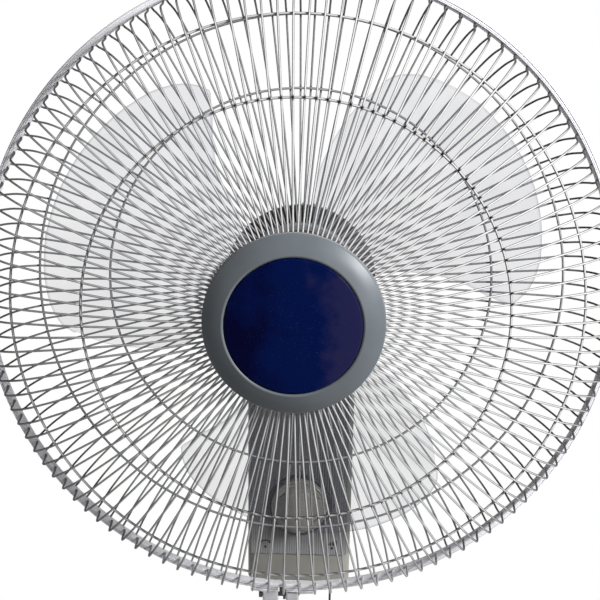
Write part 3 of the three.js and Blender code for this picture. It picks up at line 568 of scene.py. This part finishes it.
wires = dict(count=120, radius=0.72, ringRadius=0.85, ringSteps=1.4, runSteps=3, frontPhase=1.312,
             rearPhase=0.737)
frontGuard = dict(
    run=[(216.2, -2.4), (214.9, -1.4), (213.6, 3), (212.4, 12), (211.4, 20.5), (209.6, 27), (206, 32), (198.5, 38.8),
         (190.4, 44.8), (185.6, 47), (163, 57), (139.6, 66.2), (134.8, 67.7), (98, 79), (56, 87.4), (46, 88.1)],
    rings=[(187.9, 44.1), (137.3, 65.3), (216.6, -2.4)])
rearGuard = dict(
    run=[(216.2, -4.8), (214.6, -5.8), (212.8, -9), (211.6, -14), (207.5, -26), (200, -36), (190.4, -42.6),
         (185.6, -44.2), (139.6, -45.8), (134.8, -45.9), (56, -46.1), (40.5, -45.6)],
    rings=[(187.9, -41.9), (137.3, -43.9), (216.9, -4.4)])


# a smooth run through the given radius and depth points
def drawnThrough(points, steps):
    padded = [points[0]] + list(points) + [points[-1]]
    out = []
    for k in range(1, len(padded) - 2):
        a, b, c, d = (Vector(padded[k + s]) for s in (-1, 0, 1, 2))
        for s in range(steps):
            t = s / steps
            out.append(0.5 * (2 * b + (c - a) * t + (2 * a - 5 * b + 4 * c - d) * t * t
                              + (3 * b - a - 3 * c + d) * t ** 3))
    return out + [Vector(points[-1])]


def makeGuard(name, guard, phase, material, node):
    run = drawnThrough(guard["run"], wires["runSteps"])
    runs = []
    for k in range(wires["count"]):
        a = math.radians(phase + 360 * k / wires["count"])
        runs.append(([place(p.x * math.cos(a), p.y, p.x * math.sin(a)) for p in run], False, 1))
    for r, depth in guard["rings"]:
        steps = int(r * wires["ringSteps"])
        points = [place(r * math.cos(t), depth, r * math.sin(t)) for t in
                  (2 * math.pi * k / steps for k in range(steps))]
        runs.append((points, True, wires["ringRadius"] / wires["radius"]))
    return wirePiece(name, runs, wires["radius"], "head", material, "wire_paint", node)


makeGuard("front_guard_wires", frontGuard, wires["frontPhase"], wirePaint, "front_guard")
makeGuard("rear_guard_wires", rearGuard, wires["rearPhase"], shadedWirePaint, "rear_guard")

plates = dict(front=[(20, 86.4), (57, 86.4, 1), (57.6, 87.9, 1), (56, 89, 1), (20, 89.1)],
              rear=[(24.2, -44.4), (40, -44.4, 0.6), (41.4, -45.4, 0.6), (40, -46.6, 0.6), (24.2, -46.6)])
for side, profile in plates.items():
    turnedPiece(side + "_guard_plate", profile, "head", shadedWirePaint, "wire_paint", side + "_guard", segments=144,
                loop=True)
print("guards welded")


# rim: a channel clipped over both guards, closed by a screw at the bottom

# grooves are (radius, half width, depth), saddles and tabs (left, right); the tongue carries the channel on under the
# split and the screw pulls the lugs on to a black block, painted shade of the gap between them
rim = dict(outer=220, lip=215.6, width=6.8, grooves=((218.4, 0.6, 0.8), (217.0, 0.3, 0.25)), segments=420,
           splitRight=-5.4, splitLeft=-11.2)
lugs = dict(left=dict(saddle=(-31, -11.2), tab=(-22.3, -11.2)), right=dict(saddle=(-5.4, 14.5), tab=(-5.4, 3.6)),
            outer=222, top=-219.5, low=-236, front=0.8, back=-8)
tongue = dict(inner=214.9, outer=218.5, front=-1.6, back=-6.2, under=1)
gapShadeBlock = dict(left=-10.3, right=-7.8, top=-217.9, low=-224.4, front=-0.6, back=-6)
rimLook = ("head", rimPaint, "rim_plastic", "rim_band")


def makeRim():
    out, lip, back = rim["outer"], rim["lip"], -rim["width"]
    grooves = [(r + w, -d) for r, half, deep in rim["grooves"]
               for w, d in ((half, 0), (half / 3, deep), (-half / 3, deep), (-half, 0))]
    section = [
        (out - 0.2, -3.6), (out, -2.6, 0.5), (out - 0.1, -0.9, 0.5), (out - 0.7, -0.1, 0.5), *grooves,
        (lip + 0.7, 0, 0.3), (lip - 0.1, -1.5, 0.4), (lip - 0.7, -4, 0.4), (lip - 0.9, back + 0.6, 0.3),
        (lip - 0.3, back, 0.3), (out - 0.9, back, 0.5), (out - 0.1, back + 0.7, 0.5), (out, -4.6, 0.6)]
    right, left = (math.degrees(math.asin(x / out)) for x in picked(rim, "splitRight splitLeft"))
    turnedPiece("rim_channel", section, *rimLook, sharp=50, loop=True, steps=2, segments=rim["segments"],
                start=-90 + right, sweep=360 - (right - left))
    lugOut, top, low, front, behind = picked(lugs, "outer top low front back")
    for side in ("left", "right"):
        start, end = lugs[side]["saddle"]
        xs = [start + (end - start) * k / 8 for k in range(9)]
        inner = [(x, -math.sqrt((out + 0.1) ** 2 - x * x)) for x in xs]
        outer = [(x, -math.sqrt(lugOut ** 2 - x * x)) for x in reversed(xs)]
        bm = bmesh.new()
        prism(bm, inner + outer, behind, front)
        rounded(meshPiece("rim_lug_" + side + "_saddle", bm, *rimLook), 0.5)
        bm = bmesh.new()
        box(bm, *lugs[side]["tab"], low, top, behind, front)
        rounded(meshPiece("rim_lug_" + side + "_tab", bm, *rimLook), 1.2, segments=4)
    lip, out, front, back, under = picked(tongue, "inner outer front back under")
    turnedPiece("rim_tongue", [(lip, front), (out, front), (out, back), (lip, back)], *rimLook, loop=True, segments=6,
                start=-90 + left - under, sweep=right - left + 2 * under)
    bm = bmesh.new()
    # a black block in the split: painted shade of the gap between the lugs
    box(bm, *picked(gapShadeBlock, "left right low top back front"))
    rounded(meshPiece("rim_gap_shade_block", bm, "head", blackPlastic, "rim_plastic", "rim_band"), 0.3)


makeRim()
refined("rim_screw", "head", darkSteel, width=0.25)
refined("rim_nut", "head", darkSteel, width=0.25)
print("rim closed")


# cap and its bare disc

cap = dict(radius=57.1, back=89.3, front=98.8, recess=43, sunk=2.4)
out, back, front, recess, sunk = picked(cap, "radius back front recess sunk")
turnedPiece("cap_silver_ring", [
    (0, back + 1.6), (out - 2.4, back + 1.6), (out - 2.2, back, 0.3), (out - 0.5, back, 0.4), (out, back + 0.8, 0.4),
    (out - 0.1, back + 2.9, 1.1), (out - 6.6, front - 2.5, 8), (recess + 1.3, front, 0.5),
    (recess + 0.2, front - 0.5, 0.5), (recess, front - 1.2, 0.2), (recess, front - sunk, 0.2), (0, front - sunk)],
    "head", capSilver, "silver_cap", "cap_ring", sharp=50, steps=6, segments=192)

disc = dict(radius=42.6, back=96.6, edge=98.45, crown=98.95)
out, back, edge, crown = picked(disc, "radius back edge crown")
turnedPiece("badge_disc_bare", [
    (0, back), (out, back, 0.1), (out, edge - 0.2, 0.5), (out - 0.8, edge + 0.1, 0.6), (20, crown - 0.12, 10),
    (0, crown)], "head", discNavy, "navy_disc", "badge_disc", sharp=60, steps=6, segments=192)
print("cap closed")


# impeller

# edges: (reach, leading angle, trailing angle); tip: (share across, reach); squeeze: share of the edges in use;
# edgeShare: share of the thickness at the border; growOver: millimetres inwards that add one whole thickness
blade = dict(
    count=3, root=33.0, span=144.8, shift=-1.3, pitch=38.0, twist=41.2, thick=1.9, edgeShare=0.35, growOver=2.2,
    rimWide=1.6, rows=34, columns=30, squeeze=0.8356,
    edges=[(0, -22, 34), (0.1174, -26, 38), (0.2555, -30.5, 41), (0.3936, -33.8, 40.2), (0.4972, -36.4, 38),
           (0.6008, -39.6, 35.6), (0.7044, -43.2, 32.8), (0.7942, -45.2, 29.6)],
    tip=[(0, .808), (.03, .8564), (.08, .9047), (.16, .9427), (.28, .971), (.42, .9931), (.56, 1), (.7, .9945),
         (.82, .971), (.91, .9365), (.97, .8909), (1, .8356)])
hub = dict(radius=38, back=-33, shoulder=17, front=25, wall=2.4, bore=7, socket=12)


def looked(table, x, column):  # straight-line reading of a table, carried on past its last row
    k = next((i for i in range(1, len(table)) if table[i][0] >= x), len(table) - 1)
    low, high = table[k - 1], table[k]
    return low[column] + (high[column] - low[column]) * (x - low[0]) / (high[0] - low[0])


def bladePoint(u, v, turn):
    reach = min(v, 0.98) * blade["squeeze"]
    lead, trail = (looked(blade["edges"], reach, column) for column in (1, 2))
    angle = math.radians(lead + u * (trail - lead))
    r = blade["root"] + v * looked(blade["tip"], u, 1) * blade["span"]
    around = angle + math.radians(turn)
    return place(r * math.cos(around), blade["shift"] + blade["pitch"] * angle, r * math.sin(around))


def makeImpeller():
    bm = bmesh.new()
    edge = bm.verts.layers.float.new("bladeEdge")
    rows, columns = blade["rows"], blade["columns"]
    us = [0.5 - 0.5 * math.cos(math.pi * k / columns) for k in range(columns + 1)]
    vs = [math.sin(math.pi / 2 * k / rows) for k in range(rows + 1)]
    for k in range(blade["count"]):
        turn = blade["twist"] + 360 * k / blade["count"]
        mid = [[bladePoint(u, v, turn) for u in us] for v in vs]
        sides = []
        for face in (1, -1):
            grid = []
            for i in range(rows + 1):
                line = []
                for j in range(columns + 1):
                    across = mid[i][min(j + 1, columns)] - mid[i][max(j - 1, 0)]
                    along = mid[min(i + 1, rows)][j] - mid[max(i - 1, 0)][j]
                    border = min((mid[i][j] - mid[i][0]).length, (mid[i][j] - mid[i][-1]).length,
                                 (mid[i][j] - mid[-1][j]).length) * 1000
                    fat = min(1, blade["edgeShare"] + border / blade["growOver"])
                    vert = bm.verts.new(mid[i][j] + across.cross(along).normalized() * face * fat
                                        * blade["thick"] / 2000)
                    vert[edge] = max(0.0, 1 - border / blade["rimWide"])
                    line.append(vert)
                grid.append(line)
            sides.append(grid)
        one, two = sides
        for i in range(rows):
            for j in range(columns):
                bm.faces.new((one[i][j], one[i][j + 1], one[i + 1][j + 1], one[i + 1][j]))
                bm.faces.new((two[i][j], two[i + 1][j], two[i + 1][j + 1], two[i][j + 1]))
        border = [(0, j) for j in range(columns)] + [(i, columns) for i in range(rows)] + \
            [(rows, j) for j in range(columns, 0, -1)] + [(i, 0) for i in range(rows, 0, -1)]
        for (a, b), (c, d) in zip(border, border[1:] + border[:1]):
            bm.faces.new((one[a][b], one[c][d], two[c][d], two[a][b]))
    meshPiece("fan_blades", bm, "impeller", bladePlastic, "blade_plastic", "blade", sharp=70)
    out, back, shoulder, front, wall, bore, socket = picked(hub, "radius back shoulder front wall bore socket")
    turnedPiece("impeller_hub", [
        (out - wall, back), (out - 0.4, back, 0.4), (out, back + 0.6, 0.4), (out, shoulder - 3, 4),
        (out - 5, front - 1.5, 5), (16, front, 2), (bore, front), (bore, front - socket),
        (bore + 3, front - socket, 0.6), (bore + 3.6, front - wall, 0.8), (out - 8, front - wall - 1, 4),
        (out - wall, shoulder - 5, 4)], "impeller", bladePlastic, "blade_plastic", "blade", sharp=50, loop=True,
        steps=5, segments=144)


makeImpeller()
refined("spinner_nut", "impeller", headPlastic, width=0.4)
print("impeller set")


# motor housing

motor = dict(flange=54.5, flangeBack=-51.9, radius=49, face=-46.9, join=-80, back=-118, rearRadius=48.4, boss=23.6,
             bossFront=-37, bore=10, wall=2.4, ribs=36, ribHalf=0.8, ribClear=0.2)
lockRing = dict(inner=24.6, outer=43, front=-38.2, back=-44.5, lugs=10, firstLug=72, lugHalf=2.4)
guardKey = dict(x=-1.8, low=43.6, high=49.6, back=-52, front=-46.6, slot=1.9, pin=1.7)


def makeMotor():
    r, face, join, wall, flange, heel = picked(motor, "radius face join wall flange flangeBack")
    boss, bore, nose = picked(motor, "boss bore bossFront")
    turnedPiece("motor_front_shell", [
        (bore, nose - 1), (boss - 1.2, nose, 0.8), (boss, nose - 1.4, 0.6), (boss, face, 0.8),
        (flange - 0.3, face, 1.4), (flange, face - 1.6, 0.6), (flange, heel, 0.8), (r, heel - 5.5, 2),
        (r, join + 0.6, 0.3), (r - 0.5, join, 0.3), (r - wall, join, 0.3), (r - wall, face - 8, 3),
        (r - 8, face - wall, 3), (bore, face - wall)],
        "head", headPlastic, "grey_plastic", "motor_front", sharp=45, loop=True, segments=144)
    r, back, count, half, clear = picked(motor, "rearRadius back ribs ribHalf ribClear")
    bm = bmesh.new()
    turned(bm, softened([
        (0, back), (r - 20, back, 3), (r - 7, back + 5, 10), (r, back + 16, 8), (r, join - 0.9, 0.4),
        (r - 0.6, join - 0.3, 0.3), (r - wall, join - 0.3, 0.3), (r - wall, back + 16, 8),
        (r - 10, back + 6.5, 8), (r - 21, back + wall, 3), (0, back + wall)]), segments=144)
    line = [(r - 0.4, join - 4), (r + 0.5, join - 5), (r + 0.5, back + 17), (r - 5.6, back + 6.6),
            (r - 8, back + 5.2), (r - 6.5, back + 8), (r - 0.8, back + 18)]
    for k in range(count):  # cooling ribs round the rear shell
        c, s = math.cos(2 * math.pi * k / count), math.sin(2 * math.pi * k / count)
        if abs(s + 1) < clear:
            continue  # the gearbox sits here
        joined(bm, [[bm.verts.new(place(q * c - w * s, d, q * s + w * c)) for q, d in line] for w in (-half, half)])
    meshPiece("motor_rear_shell", bm, "head", headPlastic, "grey_plastic", "motor_rear", sharp=45)
    bm = bmesh.new()
    inner, out, front, back, count, half = picked(lockRing, "inner outer front back lugs lugHalf")
    turned(bm, softened([(inner, back), (out - 0.6, back, 0.4), (out, back + 0.8, 0.5), (out, front - 1.2, 0.8),
                         (out - 1.4, front, 0.8), (out - 5, front, 0.6), (out - 6, front - 1.6, 0.6),
                         (inner + 6, front - 1.6, 0.6), (inner + 5, front, 0.6), (inner, front, 0.5)], loop=True),
           segments=144, loop=True)
    for k in range(count):  # radial bars to turn the ring by
        turned(bm, [(inner + 4.4, front - 2), (inner + 4.4, front - 0.3), (out - 4.4, front - 0.3),
                    (out - 4.4, front - 2)], segments=2, start=360 * k / count + lockRing["firstLug"] - half,
               sweep=2 * half, loop=True)
    meshPiece("guard_lock_ring", bm, "head", lockPlastic, "rim_plastic", "lock_nut", sharp=45)
    bm = bmesh.new()  # the key that stops the rear guard turning: a pin between two slots, the slots as black blocks, painted shade
    x, low, high, back, front, slot, pin = picked(guardKey, "x low high back front slot pin")
    for side in (-1, 1):
        middle = x + side * (slot + pin) / 2
        box(bm, middle - slot / 2, middle + slot / 2, low, high, back, front)
    rounded(meshPiece("guard_key_slot_shade", bm, "head", blackPlastic, "grey_plastic", "motor_front"), 0.3)


makeMotor()
refined("gearbox", "head", headPlastic, width=1.6, segments=3)
refined("neck", "neck", headPlastic, width=0.8, segments=3)
refined("tilt_yoke", "wall_base", darkSteel, width=0.5)
refined("tilt_bolt", "wall_base", brightSteel, width=0.4)
refined("tilt_knob", "clamp", blackPlastic, width=1.0, segments=3)
print("motor and tilt joint dressed")


# wall base

base = dict(top=-104, split=-248, bottom=-272, topHalf=43.2, bottomHalf=42, wallDepth=-215, corner=9, edge=1.8,
            wall=2.6, joint=0.12, seam=0.1)


# from the wall up the left side, round the front, and back down the right side
def baseOutline(half, inset):
    half, front, radius = half - inset, baseFront - inset, max(base["corner"] - inset, 0.6)
    points = [(-half, base["wallDepth"])]
    for middle, first in ((-half + radius, 180), (half - radius, 90)):
        for k in range(10):
            a = math.radians(first - 10 * k)
            points.append((middle + radius * math.cos(a), front - radius + radius * math.sin(a)))
    return points + [(half, base["wallDepth"])]


def halfAt(z):
    share = (z - base["bottom"]) / (base["top"] - base["bottom"])
    return base["bottomHalf"] + (base["topHalf"] - base["bottomHalf"]) * share


# an open-backed tub closed at its end and open at its start, with a rounded end edge
def makeTub(name, node, start, end, material, slot):
    way = 1 if end > start else -1
    edge, joint, wall = picked(base, "edge joint wall")
    turnIn = [(end - way * edge * (1 - math.sin(math.radians(a))), edge * (1 - math.cos(math.radians(a))))
              for a in range(0, 91, 15)]
    outside = [(start, joint), (start + way * joint, 0)] + turnIn
    inside = [(start, wall), (end - way * edge, wall), (end - way * (wall + 1), wall + 1), (end - way * wall, wall + 3)]
    bm = bmesh.new()
    shells = []
    for levels in (outside, inside):
        rings = [[bm.verts.new(place(x, d, z)) for x, d in baseOutline(halfAt(z), inset)] for z, inset in levels]
        for low, high in zip(rings, rings[1:]):
            skinned(bm, low, high, closed=False)
        bm.faces.new(rings[-1])
        shells.append(rings)
    skinned(bm, shells[0][0], shells[1][0], closed=False)
    outer = [ring[0] for ring in shells[0]] + [ring[-1] for ring in reversed(shells[0])]
    inner = [ring[-1] for ring in shells[1]] + [ring[0] for ring in reversed(shells[1])]
    bm.faces.new(outer + inner)
    return meshPiece(name, bm, "wall_base", material, slot, node, sharp=40)


makeTub("base_housing", "base_shell", base["split"] + base["seam"], base["top"], basePlastic, "grey_plastic")
makeTub("base_lower_cover", "lower_cover", base["split"] - base["seam"], base["bottom"], coverPlastic, "brown_plastic")

panel = dict(half=38.9, top=-113, bottom=-247.5, back=-129.95, face=-129.2, ribHigh=0.3, ribPitch=2.0, hole=26.2,
             knobZ=-204.5, samples=8)


# vertical ribs side by side, parted round the knob
def makePanel():
    half, pitch, middle = picked(panel, "half ribPitch knobZ")
    count = int(half * 2 / pitch * panel["samples"])
    xs = [-half + 2 * half * k / count for k in range(count + 1)]
    bm = bmesh.new()

    def front(x):
        return panel["face"] + panel["ribHigh"] * abs(math.sin(math.pi * x / pitch)) ** 0.7

    def strip(points):  # points: (x, upper z, lower z)
        rows = [[bm.verts.new(place(x, d, z)) for d in (front(x), panel["back"]) for z in (high, low)]
                for x, high, low in points]
        for a, b in zip(rows, rows[1:]):
            for i, j in ((0, 1), (1, 3), (3, 2), (2, 0)):
                bm.faces.new((a[i], b[i], b[j], a[j]))
        for end in (rows[0], rows[-1]):
            bm.faces.new((end[0], end[1], end[3], end[2]))

    def chord(x):
        return math.sqrt(max(panel["hole"] ** 2 - x * x, 0))

    strip([(x, panel["top"], middle + chord(x)) for x in xs])
    strip([(x, middle - chord(x), panel["bottom"]) for x in xs])
    meshPiece("ribbed_front_panel", bm, "wall_base", panelPlastic, "grey_plastic", "front_panel", sharp=80)


makePanel()

dial = dict(z=-204.5, bezelIn=24, bezelOut=25.8, bezelBack=-129.9, bezelFront=-127.9, radius=22.8, back=-129.5,
            face=-122.5, stem=4, stemBack=-155.7, grip=-113.5, gripHalf=10, gripLong=18.2,
            crease=((17.2, 8), (11, 12.4)), creaseHalf=0.3)


def makeDial():
    middle = (0, dial["z"])
    inner, out, back, front = picked(dial, "bezelIn bezelOut bezelBack bezelFront")
    # the bezel is black plastic: painted shade of the gap round the knob
    turnedPiece("dial_bezel", [
        (inner, back), (out, back, 0.1), (out, front - 0.4, 0.4), (out - 0.6, front, 0.4), (inner, front, 0.3)],
        "wall_base", blackPlastic, "black_plastic", "knob_bezel", sharp=50, loop=True, centre=middle, segments=120)
    out, face, back, stem, root = picked(dial, "radius face back stem stemBack")
    bm = bmesh.new()
    turned(bm, softened([
        (0, back), (out, back, 0.2), (out, face - 1.6, 1.2), (out - 1.3, face, 0.8), (out - 1.5, face - 1.0, 0.1),
        (out - 2.1, face - 1.0, 0.1), (out - 2.3, face, 0.1), (0, face)]), centre=middle, segments=120)
    turned(bm, [(0, root), (stem, root), (stem, back + 1), (0, back + 1)], centre=middle, segments=24)
    meshPiece("speed_dial", bm, "dial", knobPlastic, "brown_plastic", "speed_knob", sharp=45)
    half, reach, grip = picked(dial, "gripHalf gripLong grip")
    bm = bmesh.new()
    outline = softened([(-half, reach - 5, 2), (-half + 3, reach - 1, 3), (half - 3, reach - 1, 3),
                        (half, reach - 5, 2), (half, -reach + 6, 2), (half - 4, -reach + 0.5, 3),
                        (-half + 4, -reach + 0.5, 3), (-half, -reach + 6, 2)], loop=True)
    rings = []
    for depth, grow in ((face - 0.5, 1.0), (face + 2, 0.6), (grip - 1.5, 0), (grip, -1.5)):
        rings.append([bm.verts.new(place(a * (1 + grow / half), depth, dial["z"] + b * (1 + grow / reach)))
                      for a, b in outline])
    joined(bm, rings)
    meshPiece("dial_grip", bm, "dial", knobPlastic, "brown_plastic", "speed_knob", sharp=50)
    bm = bmesh.new()  # dark strips where the finger hollows end, beside the grip: painted shade of the creases
    for side in (-1, 1):
        for end in (-1, 1):
            one, two = (Vector((side * x, dial["z"] + end * z)) for x, z in dial["crease"])
            wide = (two - one).orthogonal().normalized() * dial["creaseHalf"]
            prism(bm, [tuple(one + wide), tuple(two + wide), tuple(two - wide), tuple(one - wide)],
                  face - 0.4, face + 0.08)
    meshPiece("dial_crease_shade_lines", bm, "dial", dialInk, "brown_plastic", "speed_knob")


makeDial()

figures = dict(radius=28.3, size=4.2, depth=-128.65, thick=0.05,
               places={"0": 268, "1": 180, "2": 88, "3": 0}, stops=(134, 46), stopRadius=0.55)
signs = dict(x=27.4, z=-237.6, depth=-129.5, front=-128.7, dotZ=-241.6, dotRadius=1.0,
             bars=(1.4, 2.4, 3.4, 4.4), barPitch=2.2, barWide=1.3, barsLeft=-3.9, barsLow=-1.5,
             arc=6.2, arcHalf=0.45, arcDrop=4.6, arcStart=54, arcSweep=72, arrowAt=38, arrowLong=1.9, arrowHalf=1.5)


# dial figures, and a plain sign over each pull: an arc for the swing, growing bars for the speed
def makePrint():
    r, depth, dot = picked(figures, "radius depth stopRadius")
    for label, degrees in figures["places"].items():
        a = math.radians(degrees)
        data = bpy.data.curves.new("dial_figure_" + label, "FONT")
        data.body, data.size, data.extrude = label, figures["size"] / 1000, figures["thick"] / 1000
        data.align_x, data.align_y = "CENTER", "CENTER"
        obj = added("dial_figure_" + label, data)
        obj.location = place(r * math.cos(a), depth, dial["z"] + r * math.sin(a))
        obj.rotation_euler = (math.pi / 2, 0, 0)
        bpy.context.view_layer.update()
        settle(obj, "wall_base", dialInk)
    bm = bmesh.new()
    for degrees in figures["stops"]:
        a = math.radians(degrees)
        turned(bm, [(0, depth - 0.1), (dot, depth - 0.1), (dot, depth + 0.05), (0, depth + 0.05)],
               centre=(r * math.cos(a), dial["z"] + r * math.sin(a)), segments=20)
    x, z, back, front, dot, arc, half = picked(signs, "x z depth front dotRadius arc arcHalf")
    for side in (-1, 1):
        turned(bm, [(0, back), (dot, back), (dot, front), (0, front)], centre=(side * x, signs["dotZ"]), segments=24)
    for k, high in enumerate(signs["bars"]):
        left, low = x + signs["barsLeft"] + signs["barPitch"] * k, z + signs["barsLow"]
        box(bm, left, left + signs["barWide"], low, low + high, back, front)
    middle = (-x, z - signs["arcDrop"])
    turned(bm, [(arc - half, back), (arc + half, back), (arc + half, front), (arc - half, front)], centre=middle,
           segments=24, start=signs["arcStart"], sweep=signs["arcSweep"], loop=True)
    for side in (-1, 1):
        a = math.radians(90 + side * signs["arrowAt"])
        tip = Vector((middle[0] + arc * math.cos(a), middle[1] + arc * math.sin(a)))
        along = Vector((-math.sin(a), math.cos(a))) * side
        out = Vector((math.cos(a), math.sin(a))) * signs["arrowHalf"]
        heel = tip - along * 0.6
        prism(bm, [tuple(tip + along * signs["arrowLong"]), tuple(heel + out), tuple(heel - out)], back, front)
    meshPiece("printed_signs", bm, "wall_base", dialInk, "black_plastic", sharp=30)


makePrint()
refined("cable_grommet", "wall_base", blackPlastic, width=0.5)
refined("wall_plate", "wall_base", platedSteel, width=0.3)
for name in ("yoke_screw_l", "yoke_screw_r", "cover_screw_l", "cover_screw_r"):
    refined(name, "wall_base", darkSteel, width=0.35)
for name, material in dict(
        front_bearing=brightSteel, rear_bearing=brightSteel, motor_shaft=brightSteel, stator=copperWire,
        rotor_core=rotorIron, capacitor=canMetal, speed_switch=blackPlastic, swing_pull_switch=blackPlastic,
        speed_pull_switch=blackPlastic).items():
    for filled in nodes[name].material_slots:
        filled.material = material
print("wall base dressed")


# floor, light and background

studio = dict(sky=0.13, aim=(0, -0.2, 0.15), floorDrop=-1.3, floorHalf=1.6, floorGlow=0.75, floorFade=(0.4, 1.5))
lamps = dict(key=dict(power=68, size=0.7, spot=(1.44, -1.14, 1.17)),
             fill=dict(power=3, size=1.4, spot=(-1.5, 1.6, 0.9)))


def seenDirectly(tree):  # camera, glossy and transmission rays see the white background
    path = addNode(tree, "LightPath").outputs
    first = maths(tree, "MAXIMUM", path["Is Camera Ray"], path["Is Glossy Ray"])
    return maths(tree, "MAXIMUM", first, path["Is Transmission Ray"])


def makeStudio():
    world = bpy.data.worlds.new("white studio")
    scene.world = world
    world.use_nodes = True
    tree = world.node_tree
    strength = mapped(tree, seenDirectly(tree), 0, 1, studio["sky"])
    back = tree.nodes["Background"]
    back.inputs["Color"].default_value = (1, 1, 1, 1)
    tree.links.new(strength, back.inputs["Strength"])
    for name, values in lamps.items():
        lamp = bpy.data.lights.new(name, "AREA")
        lamp.energy, lamp.size, lamp.shape = values["power"], values["size"], "DISK"
        obj = added(name, lamp)
        obj.location = values["spot"]
        aim = Vector(studio["aim"]) - obj.location
        obj.rotation_euler = aim.to_track_quat("-Z", "Y").to_euler()
    bm = bmesh.new()
    half, low = studio["floorHalf"], studio["floorDrop"]
    bm.faces.new([bm.verts.new((x * half, y * half, low)) for x, y in ((-1, -1), (1, -1), (1, 1), (-1, 1))])
    mesh = bpy.data.meshes.new("floor")
    bm.to_mesh(mesh)
    bm.free()
    floor = added("floor", mesh)
    material, tree, shader = startMaterial("pale floor", Roughness=0.8)
    spot = objectSpot(tree)
    cloud = noise(tree, spot, 3.0)
    tint = mapped(tree, cloud, 0, 1, 0.82, 0.88)
    linked(tree, shader, {"Base Color": tint})
    glow = addNode(tree, "Emission")
    away = addNode(tree, "VectorMath", {0: spot, 1: (1, 1, 0)}, operation="MULTIPLY")
    reach = addNode(tree, "VectorMath", {0: away.outputs[0]}, operation="LENGTH").outputs["Value"]
    near, far = studio["floorFade"]
    fade = mapped(tree, reach, near, far, studio["floorGlow"], curve="SMOOTHSTEP")
    share = maths(tree, "MULTIPLY", seenDirectly(tree), fade)
    mixed = addNode(tree, "MixShader", {0: share, 1: shader.outputs[0], 2: glow.outputs[0]})
    tree.links.new(mixed.outputs[0], tree.nodes["Material Output"].inputs["Surface"])
    mesh.materials.append(material)
    scene.view_settings.view_transform = "Standard"


makeStudio()
print("studio lit")
